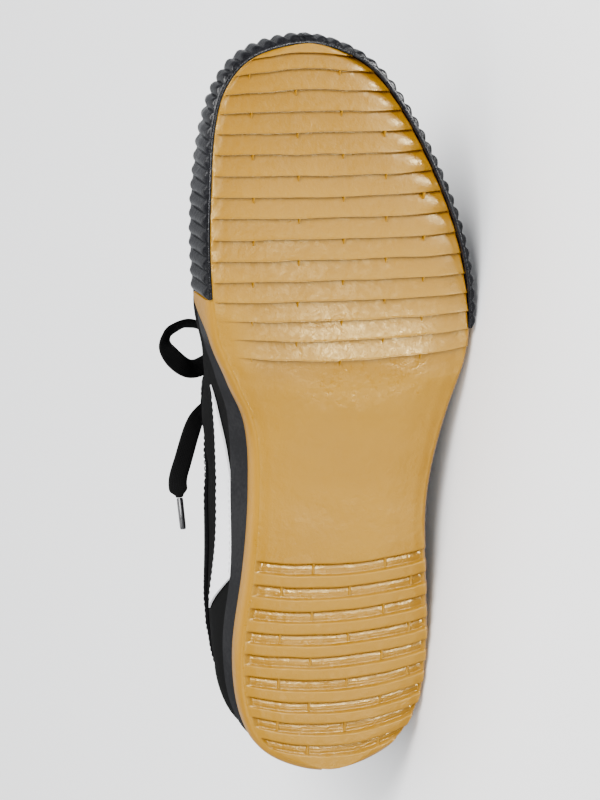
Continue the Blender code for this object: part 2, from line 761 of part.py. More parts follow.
def throat_point(share, w):
    """Face of the upper carried on across the throat: w is -1 and 1 at the eyelets' rows."""
    if abs(w) >= EDGE_SPAN:
        side = INNER if w < 0 else OUTER
        along = (1 - abs(w)) / (1 - EDGE_SPAN)
        v = v_at(side, share, EYELET_INSET * (1 - along))
        return wall_point(side, share, v)
    a, _, up_a = wall_frame(INNER, share, 1.0)
    d, _, up_d = wall_frame(OUTER, share, 1.0)
    hold = np.linalg.norm(d - a) * THROAT_DOME
    b, c = a + hold * up_a, d + hold * up_d
    t = (w / EDGE_SPAN + 1) / 2
    s = 1 - t
    return s**3 * a + 3 * s * s * t * b + 3 * s * t * t * c + t**3 * d


EDGE_SPAN = 0.6
THROAT_DOME = 0.24


def throat_frame(share, w):
    """Point and outward normal of the face across the throat."""
    nudge = 2e-3
    across = throat_point(share, min(w + nudge, 1)) - throat_point(share, max(w - nudge, -1))
    along = throat_point(share + nudge, w) - throat_point(share - nudge, w)
    normal = np.cross(along, across)
    normal /= np.linalg.norm(normal)
    return throat_point(share, w), normal if normal[2] > 0 else -normal


def run_on(rings, walk, narrow, sink=0.0):
    """A further ring in line with the first two, drawn in towards its own middle."""
    first, second = np.array(rings[0]), np.array(rings[1])
    step = (first - second).mean(0)
    step /= np.linalg.norm(step)
    ring = first + step * walk
    ring[:, 1] = ring[:, 1].mean() + (ring[:, 1] - ring[:, 1].mean()) * narrow
    ring[:, 2] -= sink
    return ring


def build_tongue(stations=11, columns=12):
    """Padded sheet under the throat, from under the toe piece to past the top eyelets."""
    rings = []
    for share in np.linspace(THROAT_FRONT - 0.006, THROAT_TOP + 0.006, stations):
        top = ease(THROAT_TOP + 0.080 - share, 0.0, 0.06)
        depth = WALL + 2.5 * GAP + OVERLAY * top
        over, under = [], []
        for w in np.linspace(-1, 1, columns + 1) * (1 - 0.52 * top):
            point, normal = throat_frame(float(share), float(w))
            over.append(point - depth * normal)
            under.append(point - (depth + TONGUE_THICKNESS) * normal)
        rings.append(over + under[::-1])
    toe_end = [run_on(rings, TONGUE_LAP, 0.8, 0.0004)]
    free = rings[::-1]
    free_end = [run_on(free, TONGUE_RISE * k, n) for k, n in ((0.45, 1.0), (0.85, 0.86), (1.0, 0.6))]
    return add_rings("tongue", toe_end + rings + free_end, BLACK_CANVAS)


# Laces

LACE_LIFT = 2 * SKIN_GAP + OVERLAY + EYELET_THICKNESS + GAP


def eyelet_shares():
    return np.linspace(THROAT_FRONT - 0.030, THROAT_TOP + 0.022, EYELET_PAIRS)


def build_eyelet(name, side, share, segments=8):
    point, normal, up = wall_frame(side, share, v_at(side, share, EYELET_INSET))
    across = np.cross(normal, up)
    base = point + (2 * SKIN_GAP + OVERLAY) * normal
    rings = []
    for k in range(segments):
        angle = 2 * math.pi * k / segments
        spoke = math.cos(angle) * up + math.sin(angle) * across
        low, high = base, base + EYELET_THICKNESS * normal
        rings.append([
            low + EYELET_HOLE * spoke, low + EYELET_RADIUS * spoke,
            high + 0.8 * EYELET_RADIUS * spoke, high + EYELET_HOLE * spoke,
        ])
    return add_rings(name, rings, BLACK_METAL, closed=True, metallic=0.8)


def build_lace_bar(name, share, steps=13):
    """Flat lace straight across the throat, drawn in where it enters its eyelets."""
    rings = []
    for w in np.linspace(-1, 1, steps):
        point, normal = throat_frame(share, w)
        low = point + normal * LACE_LIFT
        high = low + normal * LACE_THICKNESS
        width = LACE_WIDTH * (LACE_PINCH + (1 - LACE_PINCH) * ease(1 - abs(w), 0.0, 0.35))
        reach = 0.5 * width / LENGTH
        lean = throat_frame(share + reach, w)[0] - throat_frame(share - reach, w)[0]
        half = 0.5 * width * lean / np.linalg.norm(lean)
        rings.append([low - half, low + half, high + half, high - half])
    return add_rings(name, rings, BLACK_LACE)


def open_curve(points, steps):
    """Points read from a smooth curve through a route's own points."""
    points = [np.array(p, float) for p in points]
    points = [2 * points[0] - points[1]] + points + [2 * points[-1] - points[-2]]
    curve = []
    for k in range(1, len(points) - 2):
        a, b, c, d = points[k - 1:k + 3]
        for t in np.linspace(0, 1, steps, endpoint=False):
            curve.append(
                b + 0.5 * t * (c - a + t * (2 * a - 5 * b + 4 * c - d + t * (3 * (b - c) + d - a)))
            )
    curve.append(points[-2])
    return curve


def build_cord(name, route, diameter, look, steps=3):
    line = bpy.data.curves.new(name, "CURVE")
    line.dimensions = "3D"
    points = open_curve(route, steps)
    spline = line.splines.new("POLY")
    spline.points.add(len(points) - 1)
    for knot, point in zip(spline.points, points):
        knot.co = (*point, 1)
    line.bevel_depth = diameter / 2
    line.bevel_resolution = 2
    line.use_fill_caps = True
    made = bpy.data.objects.new(name, line)
    made.data.materials.append(material(name, *look))
    bpy.context.scene.collection.objects.link(made)
    return made


def knot_place():
    """Middle of the knot, over the two top bars of the lace, and the way it lies."""
    rows = eyelet_shares()
    point, normal = throat_frame(0.5 * (rows[-1] + rows[-2]), 0.0)
    middle = point + (LACE_LIFT + LACE_THICKNESS + 2 * GAP + KNOT_DIAMETER / 2) * normal
    return middle, np.cross([0, 1, 0], normal)


def route_points(table, side):
    knot, _ = knot_place()
    return [knot + np.array([x, side * y, z]) / 1000 for x, y, z in table]


def build_bow():
    knot, lie = knot_place()
    reach = KNOT_LENGTH / 2 * lie
    cords = [build_cord("lace_knot", [knot - reach, knot, knot + reach], KNOT_DIAMETER, BLACK_LACE)]
    for word, side, loop, tail in (
        ("inner", INNER, LOOP_INNER, TAIL_INNER), ("outer", OUTER, LOOP_OUTER, TAIL_OUTER)
    ):
        cords.append(build_cord(f"lace_loop_{word}", route_points(loop, side), LACE_TUBE, BLACK_LACE))
        end = route_points(tail, side)
        cords.append(build_cord(f"lace_end_{word}", end, LACE_TUBE, BLACK_LACE))
        ahead = (end[-1] - end[-2]) / np.linalg.norm(end[-1] - end[-2])
        start = end[-1] + GAP * ahead
        middle, stop = start + 0.5 * TIP_LENGTH * ahead, start + TIP_LENGTH * ahead
        cords.append(
            build_cord(f"lace_tip_{word}", [start, middle, stop], TIP_DIAMETER, BLACK_METAL, steps=1)
        )
    return cords


# Lying pose

def world_points(things):
    return np.array([thing.matrix_world @ v.co for thing in things for v in thing.data.vertices])


def centre_of_volume(things):
    total, moment = 0.0, Vector()
    for thing in things:
        thing.data.calc_loop_triangles()
        for triangle in thing.data.loop_triangles:
            a, b, c = (thing.data.vertices[k].co for k in triangle.vertices)
            volume = a.dot(b.cross(c)) / 6
            total += volume
            moment += volume * (a + b + c) / 4
    return moment / total


def resting_side(things):
    """Outward normal of the outer side's plane that carries the shoe when it lies on it."""
    centre = centre_of_volume(things)
    hull = bmesh.new()
    for point in world_points(things):
        hull.verts.new(point)
    bmesh.ops.convex_hull(hull, input=hull.verts)
    best, found = Vector((0, 1, 0)), -1.0
    for face in hull.faces:
        if len(face.verts) != 3 or face.normal.y < 0.85:
            continue
        corners = [v.co for v in face.verts]
        foot_of = centre - (centre - corners[0]).dot(face.normal) * face.normal
        sides = [
            (corners[(k + 1) % 3] - corners[k]).cross(foot_of - corners[k]).dot(face.normal)
            for k in range(3)
        ]
        if (min(sides) >= 0 or max(sides) <= 0) and face.calc_area() > found:
            best, found = face.normal.copy(), face.calc_area()
    hull.free()
    return best


def lay_down(solids, cords):
    """Turn the shoe onto its outer side and put the origin under its middle, on the floor."""
    down = resting_side(solids)
    ahead = (Vector((1, 0, 0)) - down.x * down).normalized()
    turn = Matrix((ahead, (-down).cross(ahead), -down)).to_4x4()
    placed = np.array([turn @ Vector(p) for p in world_points(solids)])
    low, high = placed.min(0), placed.max(0)
    shift = Matrix.Translation(-Vector(((low[0] + high[0]) / 2, (low[1] + high[1]) / 2, low[2])))
    for thing in solids + cords:
        thing.data.transform(shift @ turn)
        if thing in solids:
            thing.data.update()
    return shift @ turn


def main():
    for thing in list(bpy.data.objects):
        bpy.data.objects.remove(thing)
    build_outsole()
    build_foxing()
    build_guard()
    build_upper()
    build_insole()
    build_tongue()
    build_eyestay("eyestay_inner", INNER)
    build_eyestay("eyestay_outer", OUTER)
    build_side_band("side_band_inner", INNER)
    build_side_band("side_band_outer", OUTER)
    build_heel_strip()
    build_binding()
    for k, share in enumerate(eyelet_shares()):
        build_eyelet(f"eyelet_inner_{k + 1}", INNER, float(share))
        build_eyelet(f"eyelet_outer_{k + 1}", OUTER, float(share))
        build_lace_bar(f"lace_bar_{k + 1}", float(share))
    solids = list(bpy.data.objects)
    cords = build_bow()
    lay_down(solids, cords)


main()
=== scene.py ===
import json
import math
from functools import lru_cache

import bpy
import bmesh
import numpy as np
from mathutils import Matrix, Vector


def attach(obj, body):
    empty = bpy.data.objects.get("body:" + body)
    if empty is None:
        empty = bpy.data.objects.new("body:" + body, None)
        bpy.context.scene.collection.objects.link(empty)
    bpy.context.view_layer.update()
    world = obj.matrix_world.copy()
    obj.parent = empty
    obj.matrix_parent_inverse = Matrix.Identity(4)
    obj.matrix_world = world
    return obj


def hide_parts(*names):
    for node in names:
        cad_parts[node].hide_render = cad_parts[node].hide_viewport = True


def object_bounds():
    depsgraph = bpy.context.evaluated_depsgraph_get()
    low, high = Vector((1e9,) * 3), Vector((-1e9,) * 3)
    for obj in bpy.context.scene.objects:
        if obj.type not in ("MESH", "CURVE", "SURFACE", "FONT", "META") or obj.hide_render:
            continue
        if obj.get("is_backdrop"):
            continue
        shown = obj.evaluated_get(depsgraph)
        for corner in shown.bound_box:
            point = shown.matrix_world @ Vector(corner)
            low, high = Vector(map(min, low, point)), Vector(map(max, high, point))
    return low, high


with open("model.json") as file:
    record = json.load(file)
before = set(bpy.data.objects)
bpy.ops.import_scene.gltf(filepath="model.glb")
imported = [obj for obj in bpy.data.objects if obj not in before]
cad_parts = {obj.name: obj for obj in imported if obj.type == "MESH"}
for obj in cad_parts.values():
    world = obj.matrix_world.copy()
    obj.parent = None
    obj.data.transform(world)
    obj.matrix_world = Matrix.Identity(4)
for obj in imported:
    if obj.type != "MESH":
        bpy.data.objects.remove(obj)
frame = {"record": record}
cad_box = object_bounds()
INNER, OUTER = -1, 1

# Sizes shared with the solids, in metres, in the standing shoe's own axes:
# +X to the toe, +Y to the outer side, +Z up, the back of the outsole at x = 0.
LENGTH = 0.283
BALL_WIDTH = 0.1062
WAIST_WIDTH = 0.0703
HEEL_WIDTH = 0.0779
TOE_SPRING = 0.015
ARCH_RISE = 0.0025
SOLE_THICKNESS = 0.0060
EDGE_ROLL = 0.0022
CROWN = 0.0012
LIP_HEIGHT = 0.0085
LIP_THICKNESS = 0.0009
RIB_DEPTH = 0.0014
FORE_PITCH = 0.0079
FORE_COUNT = 16
FORE_FIRST = 0.2795
FORE_TIP_PITCH = 0.0060
HEEL_PITCH = 0.0093
HEEL_COUNT = 9
HEEL_FIRST = 0.0846
FOXING_HEIGHT = 0.0238
FOXING_THICKNESS = 0.0018
GUARD_HEIGHT = 0.0215
GUARD_BASE = 0.0016
FLUTE_PITCH = 0.0053
FLUTE_DEPTH = 0.0016
GUARD_INNER_END = 0.666
GUARD_OUTER_END = 0.613
TOE_LEAN = 0.0055
BAND_END_GAP = 0.0015
WALL = 0.0020
HEEL_HEIGHT = 0.080
COLLAR_HEIGHT = 0.063
INSTEP_HEIGHT = 0.092
TOE_HEIGHT = 0.050
COLLAR_WIDTH = 0.066
ARCH_FLARE = 0.0036
COUNTER_BULGE = 0.0065
THROAT_FRONT = 0.675
THROAT_TOP = 0.450
THROAT_DOME = 0.24
EDGE_SPAN = 0.6
OVERLAY = 0.0008
EYESTAY_WIDTH = 0.017
HEEL_STRIP_WIDTH = 0.024
BAND_WIDTH = 0.017
BAND_GAP = 0.0015
BAND_FRONT = 0.395
BAND_FRONT_SLANT = 0.120
BAND_REAR = 0.263
BAND_REAR_SLANT = 0.062
LOBE_DEPTH = 0.0013
BINDING_DEPTH = 0.006
TONGUE_THICKNESS = 0.0022
INSOLE_THICKNESS = 0.0040
TONGUE_LAP = 0.009
TONGUE_RISE = 0.016
EYELET_PAIRS = 6
EYELET_INSET = 0.0085
EYELET_RADIUS = 0.0042
EYELET_HOLE = 0.0021
EYELET_THICKNESS = 0.0009
LACE_WIDTH = 0.0075
LACE_THICKNESS = 0.0014
LACE_PINCH = 0.6
KNOT_DIAMETER = 0.0090
KNOT_LENGTH = 0.0140
TIP_DIAMETER = 0.0026
TIP_LENGTH = 0.0125
GAP = 0.0003
SKIN_GAP = 0.0005
UPPER_OUT = -(LIP_THICKNESS + GAP + FOXING_THICKNESS + GAP)
RIM_HEIGHT = SOLE_THICKNESS + GAP
SPRING_POWER = 1.9
LACE_LIFT = 2 * SKIN_GAP + OVERLAY + EYELET_THICKNESS + GAP

# Where these forms begin, stand full, stand full no more and end, as shares of LENGTH.
ARCH_SPAN = (0.30, 0.42, 0.47, 0.58)
FLARE_SPAN = (0.24, 0.40, 0.46, 0.60)
SPRING_START = 0.677
LEAN_SPAN = (0.78, 0.97)
LIP_CLIMB = (GUARD_INNER_END - 0.055, GUARD_INNER_END - 0.006)
COVER_SPAN = (GUARD_INNER_END - 0.085, GUARD_INNER_END - 0.055)

# Columns: share of LENGTH, distance to the outer side.
OUTLINE = (
    (0.000, 0.00 * HEEL_WIDTH), (0.028, -0.31 * HEEL_WIDTH), (0.085, -0.455 * HEEL_WIDTH),
    (0.177, -0.505 * HEEL_WIDTH), (0.290, -0.515 * WAIST_WIDTH), (0.400, -0.485 * WAIST_WIDTH),
    (0.488, -0.515 * WAIST_WIDTH), (0.551, -0.418 * BALL_WIDTH), (0.622, -0.497 * BALL_WIDTH),
    (0.724, -0.527 * BALL_WIDTH), (0.820, -0.521 * BALL_WIDTH), (0.890, -0.502 * BALL_WIDTH),
    (0.943, -0.454 * BALL_WIDTH), (0.982, -0.348 * BALL_WIDTH), (1.000, -0.175 * BALL_WIDTH),
    (0.994, -0.028 * BALL_WIDTH), (0.965, 0.115 * BALL_WIDTH), (0.908, 0.231 * BALL_WIDTH),
    (0.823, 0.347 * BALL_WIDTH), (0.742, 0.429 * BALL_WIDTH), (0.657, 0.475 * BALL_WIDTH),
    (0.583, 0.471 * BALL_WIDTH), (0.505, 0.414 * BALL_WIDTH), (0.424, 0.549 * WAIST_WIDTH),
    (0.346, 0.514 * WAIST_WIDTH), (0.247, 0.537 * WAIST_WIDTH), (0.170, 0.497 * HEEL_WIDTH),
    (0.088, 0.462 * HEEL_WIDTH), (0.028, 0.31 * HEEL_WIDTH),
)

# Columns: share of LENGTH, share of half the width.
RIB_BOW = (
    (0.00, 0.20), (0.05, 0.18), (0.16, 0.105), (0.30, 0.09), (0.59, 0.066),
    (0.66, 0.015), (0.80, 0.012), (0.91, -0.02), (0.97, -0.088), (1.00, -0.09),
)

# Columns: share of LENGTH at the foot, share at the top, middle as a share of BALL_WIDTH, half
# gap as a share of COLLAR_WIDTH, height, angle, handles.
TOPLINE = (
    (0.000, 0.022, 0.000, 0.000, 1.000 * HEEL_HEIGHT, 84, 0.36),
    (0.030, 0.038, 0.000, 0.215, 0.985 * HEEL_HEIGHT, 84, 0.36),
    (0.100, 0.094, 0.000, 0.385, 0.900 * HEEL_HEIGHT, 82, 0.36),
    (0.180, 0.177, 0.000, 0.475, 1.050 * COLLAR_HEIGHT, 80, 0.36),
    (0.270, 0.270, 0.000, 0.500, 1.000 * COLLAR_HEIGHT, 78, 0.37),
    (0.350, 0.357, -0.005, 0.455, 1.150 * COLLAR_HEIGHT, 70, 0.40),
    (0.410, 0.422, -0.010, 0.370, 0.930 * INSTEP_HEIGHT, 58, 0.44),
    (0.450, 0.462, -0.015, 0.305, 1.000 * INSTEP_HEIGHT, 48, 0.47),
    (0.500, 0.508, -0.020, 0.265, 0.957 * INSTEP_HEIGHT, 42, 0.50),
    (0.560, 0.564, -0.030, 0.220, 0.872 * INSTEP_HEIGHT, 34, 0.52),
    (0.620, 0.620, -0.040, 0.165, 0.787 * INSTEP_HEIGHT, 24, 0.54),
    (0.655, 0.653, -0.045, 0.110, 0.742 * INSTEP_HEIGHT, 14, 0.55),
    (0.675, 0.672, -0.050, 0.000, 0.718 * INSTEP_HEIGHT, 0, 0.55),
    (0.720, 0.713, -0.060, 0.000, 1.220 * TOE_HEIGHT, 0, 0.55),
    (0.800, 0.786, -0.085, 0.000, 1.100 * TOE_HEIGHT, 0, 0.55),
    (0.900, 0.873, -0.120, 0.000, 1.000 * TOE_HEIGHT, 0, 0.55),
    (0.970, 0.926, -0.145, 0.000, 0.945 * TOE_HEIGHT, 0, 0.55),
    (1.000, 0.945, -0.155, 0.000, 0.915 * TOE_HEIGHT, 0, 0.55),
)
GAP_COLUMN = 3

# Routes of the bow's free parts from the knot's middle. Columns: forward, to the side, up, in mm.
LOOP_INNER = (
    (5.0, 5.3, -2.5), (7.5, 12.0, -4.0), (10.0, 22.0, -8.0), (12.5, 29.0, -11.0),
    (13.6, 35.5, -14.7), (11.6, 42.4, -18.7), (6.9, 44.3, -20.7), (2.3, 41.6, -20.7),
    (-3.1, 35.1, -17.5), (-5.6, 27.5, -9.5), (-4.4, 18.0, -1.2), (-1.6, 11.0, 1.2),
    (-0.4, 5.3, 0.2),
)
TAIL_INNER = (
    (-5.8, 5.3, 2.9), (-11.5, 9.0, 4.0), (-20.0, 15.2, 1.5), (-23.5, 22.0, -5.0),
    (-27.1, 30.5, -16.5), (-38.3, 37.6, -26.2), (-45.6, 41.0, -30.5), (-51.7, 41.0, -33.5),
)
LOOP_OUTER = (
    (5.0, 5.3, -2.5), (8.5, 12.0, -2.0), (13.5, 22.0, -1.0), (16.5, 33.0, -4.0),
    (13.0, 41.5, -7.0), (5.0, 43.5, -9.0), (-1.5, 36.0, -7.0), (-3.0, 22.0, -2.5),
    (-1.8, 12.0, 0.0), (-0.4, 5.3, 0.2),
)
TAIL_OUTER = (
    (-5.8, 5.3, 2.9), (-10.0, 12.0, 3.5), (-16.0, 22.0, 1.5), (-24.0, 30.5, -4.0),
    (-34.0, 36.0, -9.5), (-45.0, 39.0, -11.0), (-54.0, 39.4, -12.0),
)

# The two flat places on the tread in the standing shoe's axes. They place it in the row frame.
HEEL_SPOT = np.array([0.04947, -0.00027, 0.0])
FORE_SPOT = np.array([0.17297, -0.00084, 0.0])


def unit(vectors):
    return vectors / np.maximum(np.linalg.norm(vectors, axis=-1, keepdims=True), 1e-12)


def walk(points):
    """Distance walked along a line, at each of its points."""
    steps = np.linalg.norm(np.diff(points, axis=0), axis=1)
    return np.concatenate([[0], np.cumsum(steps)])


def shoe_axes():
    """The standing shoe's axes and origin in the row frame."""
    spots = {m["name"]: m for m in frame["record"]["mounts"]}
    heel, fore = (np.array(spots[name]["pos_m"]) for name in ("heel_tread", "forefoot_tread"))
    up = -unit(np.array(spots["heel_tread"]["axis"]))
    along = unit(fore - heel - (fore - heel) @ up * up)
    turn = math.atan2(FORE_SPOT[1] - HEEL_SPOT[1], FORE_SPOT[0] - HEEL_SPOT[0])
    x = math.cos(turn) * along - math.sin(turn) * np.cross(up, along)
    axes = np.array([x, np.cross(up, x), up])
    return axes, heel - HEEL_SPOT @ axes


AXES, ORIGIN = shoe_axes()


def to_row(points):
    """Points in the shoe's axes, in the row frame."""
    return np.asarray(points, float) @ AXES + ORIGIN


def cubic(x, xs, ys):
    slopes = np.gradient(ys, xs)
    x = np.clip(x, xs[0], xs[-1])
    k = np.clip(np.searchsorted(xs, x) - 1, 0, len(xs) - 2)
    step = xs[k + 1] - xs[k]
    t = (x - xs[k]) / step
    ends = (1 + 2 * t) * (1 - t) ** 2 * ys[k] + t * t * (3 - 2 * t) * ys[k + 1]
    return ends + step * t * (1 - t) * ((1 - t) * slopes[k] - t * slopes[k + 1])


def ease(x, low, high):
    t = np.clip((x - low) / (high - low), 0, 1)
    return t * t * (3 - 2 * t)


def between(x, *span):
    """1 between the middle two of four places, eased down to 0 at the outer two."""
    return ease(x, *span[:2]) * (1 - ease(x, *span[2:]))


def curve_through(points, steps, closed=False):
    """A smooth curve through points, from end to end or closed into a ring."""
    p = np.array(points, float)
    before, after = (p[-1:], p[:2]) if closed else ([2 * p[0] - p[1]], [2 * p[-1] - p[-2]])
    p = np.concatenate([before, p, after])
    t = np.linspace(0, 1, steps, endpoint=False)[:, None]
    curve = [
        b + 0.5 * t * (c - a + t * (2 * a - 5 * b + 4 * c - d + t * (3 * (b - c) + d - a)))
        for a, b, c, d in zip(p, p[1:], p[2:], p[3:])
    ]
    return np.concatenate(curve if closed else [*curve, p[-2:-1]])


def outline_sides():
    """Each side of the outline from heel to toe: x, points and outward normals."""
    curve = curve_through([(share * LENGTH, y) for share, y in OUTLINE], 40, closed=True)
    along = np.roll(curve, -1, 0) - np.roll(curve, 1, 0)
    normal = unit(np.stack([-along[:, 1], along[:, 0]], 1))
    heel, toe = int(curve[:, 0].argmin()), int(curve[:, 0].argmax())
    order = {
        INNER: np.arange(heel, heel + (toe - heel) % len(curve) + 1) % len(curve),
        OUTER: np.arange(heel, heel - (heel - toe) % len(curve) - 1, -1) % len(curve),
    }
    sides = {}
    for side, index in order.items():
        points, normals = curve[index], normal[index]
        if normals[len(index) // 2][1] * side < 0:
            normals = -normals
        sides[side] = (np.maximum.accumulate(points[:, 0]), points, normals)
    return sides


SIDES = outline_sides()


@lru_cache(maxsize=None)
def foot_base(side, share):
    xs, points, normals = SIDES[side]
    count = np.arange(len(xs))
    at = np.interp(xs[0] + share * (xs[-1] - xs[0]), xs, count)
    x, y, across, along = (np.interp(at, count, column) for column in (*points.T, *normals.T))
    length = math.hypot(across, along)
    return np.array([x, y]), np.array([across, along]) / length


def foot(side, share, out=0.0):
    point, normal = foot_base(side, float(share))
    return point + out * normal


def foot_normal(side, share):
    across, along = foot_base(side, float(share))[1]
    return np.array([across, along, 0.0])


def ground(x):
    """Height of the sole's underside, with its toe spring and its arch."""
    share = x / LENGTH
    ahead = np.clip((share - SPRING_START) / (1 - SPRING_START), 0, 1)
    return TOE_SPRING * ahead**SPRING_POWER + ARCH_RISE * between(share, *ARCH_SPAN)


def in_guard(side, share):
    return share > (GUARD_INNER_END if side == INNER else GUARD_OUTER_END)


def flare(side, share, height):
    """How far the walls stand out over the arch and lean in at the toe, at this height."""
    arch = ARCH_FLARE * between(share, *FLARE_SPAN)
    rise = max(height - LIP_HEIGHT, 0) / (FOXING_HEIGHT - LIP_HEIGHT)
    lean = TOE_LEAN * ease(share, *LEAN_SPAN)
    return ((arch if side == INNER else 0.3 * arch) - lean) * rise


def lip_height(side, share):
    """Top of the gum lip, which climbs to meet the guard's inner end."""
    top = band_height(side, share) - 0.2 * LIP_HEIGHT
    rise = ease(share, *LIP_CLIMB) if side == INNER else 0.0
    return LIP_HEIGHT + (top - LIP_HEIGHT) * rise


def band_height(side, share):
    end = GUARD_INNER_END if side == INNER else GUARD_OUTER_END
    return FOXING_HEIGHT + (GUARD_HEIGHT - FOXING_HEIGHT) * ease(share, end - 0.10, end)


def flared(side, share, out, height):
    """A point this far out of the outline and this high over the ground, moved by the flare."""
    x, y = foot(side, share, out + flare(side, share, height))
    return np.array([x, y, ground(x) + height])


def seat(side, share, height):
    return flared(side, share, UPPER_OUT, height)


@lru_cache(maxsize=None)
def topline_row(share):
    """The topline's columns at one station, with its ends mirrored so that it runs on smoothly."""
    table = np.array(TOPLINE) * (1, 1, BALL_WIDTH, COLLAR_WIDTH, 1, 1, 1)
    angles = np.arccos(1 - 2 * table[:, 0])
    angles = np.concatenate([[-angles[1]], angles, [2 * math.pi - angles[-2]]])
    table = np.concatenate([table[1:2], table, table[-2:-1]])
    table[0, GAP_COLUMN] *= -1
    angle = math.acos(np.clip(1 - 2 * share, -1, 1))
    row = [float(cubic(angle, angles, column)) for column in table.T]
    row[GAP_COLUMN] = max(row[GAP_COLUMN], 0.0) if share < THROAT_FRONT else 0.0
    return row


def top_edge(side, share):
    _, top, middle, gap, height, _, _ = topline_row(share)
    return np.array([top * LENGTH, middle + side * gap, height])


@lru_cache(maxsize=None)
def wall_curve(side, share):
    """Bezier points of the upper's outer face at one station, from its foot to its top."""
    low = seat(side, share, band_height(side, share))
    top = top_edge(side, share)
    angle = math.radians(topline_row(share)[5])
    hold = topline_row(share)[6]
    rise = top[2] - low[2]
    away = np.array([low[0] - top[0], low[1] - top[1], 0.0])
    reach = max(np.linalg.norm(away), 1e-6)
    away /= reach
    outward = foot_normal(side, share)
    bulge = COUNTER_BULGE * (1 - ease(share, 0.10, 0.40)) + 0.3 * flare(side, share, FOXING_HEIGHT)
    near = low + np.array([0, 0, hold * rise]) + outward * bulge
    span = hold * (reach * math.cos(angle) + rise * math.sin(angle))
    far = top + span * (away * math.cos(angle) - np.array([0, 0, math.sin(angle)]))
    return low, near, far, top


def bezier(a, b, c, d, t):
    s = 1 - t
    return s**3 * a + 3 * s * s * t * b + 3 * s * t * t * c + t**3 * d


def wall_point(side, share, v):
    return bezier(*wall_curve(side, float(share)), v)


def skin(side, share, v):
    """Points, outward normals and ways up on the upper's outer face at one station."""
    v = np.asarray(v, float)[:, None]
    nudge = 1e-3
    angle = math.acos(np.clip(2 * share - 1, -1, 1))
    ahead, behind = (
        (1 + math.cos(np.clip(angle + turn, 0, math.pi))) / 2 for turn in (-nudge, nudge)
    )
    curve = wall_curve(side, float(share))
    up = bezier(*curve, np.minimum(v + nudge, 1)) - bezier(*curve, np.maximum(v - nudge, 0))
    along = bezier(*wall_curve(side, ahead), v) - bezier(*wall_curve(side, behind), v)
    normals = unit(np.cross(along, up) * side)
    normals[normals @ (foot_normal(side, share) + [0, 0, 1.0]) < 0] *= -1
    return bezier(*curve, v), normals, unit(up)


def wall_frame(side, share, v):
    return [rows[0] for rows in skin(side, share, [v])]


@lru_cache(maxsize=None)
def wall_walk(side, share):
    v = np.linspace(0, 1, 60)
    return v, walk(bezier(*wall_curve(side, share), v[:, None]))


def v_at(side, share, distance):
    """The place on the wall this far below its top edge."""
    v, walked = wall_walk(side, float(share))
    return float(np.interp(walked[-1] - distance, walked, v))


def v_above(side, share, distance):
    """The place on the wall this far above its foot."""
    v, walked = wall_walk(side, float(share))
    return float(np.interp(distance, walked, v))


def even_shares(count, last=1.0):
    """Shares of LENGTH from the heel on, close together at the heel and at the toe."""
    return (1 - np.cos(np.linspace(0, math.acos(1 - 2 * last), count))) / 2


def throat_point(share, w):
    """A point of the dome over the throat, which follows the facings at both sides."""
    if abs(w) >= EDGE_SPAN:
        side = INNER if w < 0 else OUTER
        along = (1 - abs(w)) / (1 - EDGE_SPAN)
        return wall_point(side, share, v_at(side, share, EYELET_INSET * (1 - along)))
    a, _, up_a = wall_frame(INNER, share, 1.0)
    d, _, up_d = wall_frame(OUTER, share, 1.0)
    hold = np.linalg.norm(d - a) * THROAT_DOME
    return bezier(a, a + hold * up_a, d + hold * up_d, d, (w / EDGE_SPAN + 1) / 2)


def throat_frame(share, w):
    """Point and outward normal of the dome over the throat."""
    nudge = 2e-3
    across = throat_point(share, min(w + nudge, 1)) - throat_point(share, max(w - nudge, -1))
    along = throat_point(share + nudge, w) - throat_point(share - nudge, w)
    normal = unit(np.cross(along, across))
    return throat_point(share, w), normal if normal[2] > 0 else -normal


def eyelet_shares():
    return np.linspace(THROAT_FRONT - 0.030, THROAT_TOP + 0.022, EYELET_PAIRS)


def knot_frame():
    """Middle of the knot, the way ahead and the way out of the shoe."""
    rows = eyelet_shares()
    point, normal = throat_frame(0.5 * (rows[-1] + rows[-2]), 0.0)
    middle = point + (LACE_LIFT + LACE_THICKNESS + 2 * GAP + KNOT_DIAMETER / 2) * normal
    return middle, unit(np.cross([0, 1, 0], normal)), unit(normal)


def rib_bow(share):
    """How far a rib's middle lies heelward of its two ends."""
    half = (foot(OUTER, share)[1] - foot(INNER, share)[1]) / 2
    return cubic(share, *np.array(RIB_BOW).T) * half


# Meshes

SHARP_ANGLE = math.radians(50)


def add_object(name, data):
    made = bpy.data.objects.new(name, data)
    bpy.context.scene.collection.objects.link(made)
    return made


def cloth_grid(across, along):
    """Cloth coordinates of a grid of points in metres, which the weave follows."""
    return np.stack(np.broadcast_arrays(across, along, 0.0), -1)


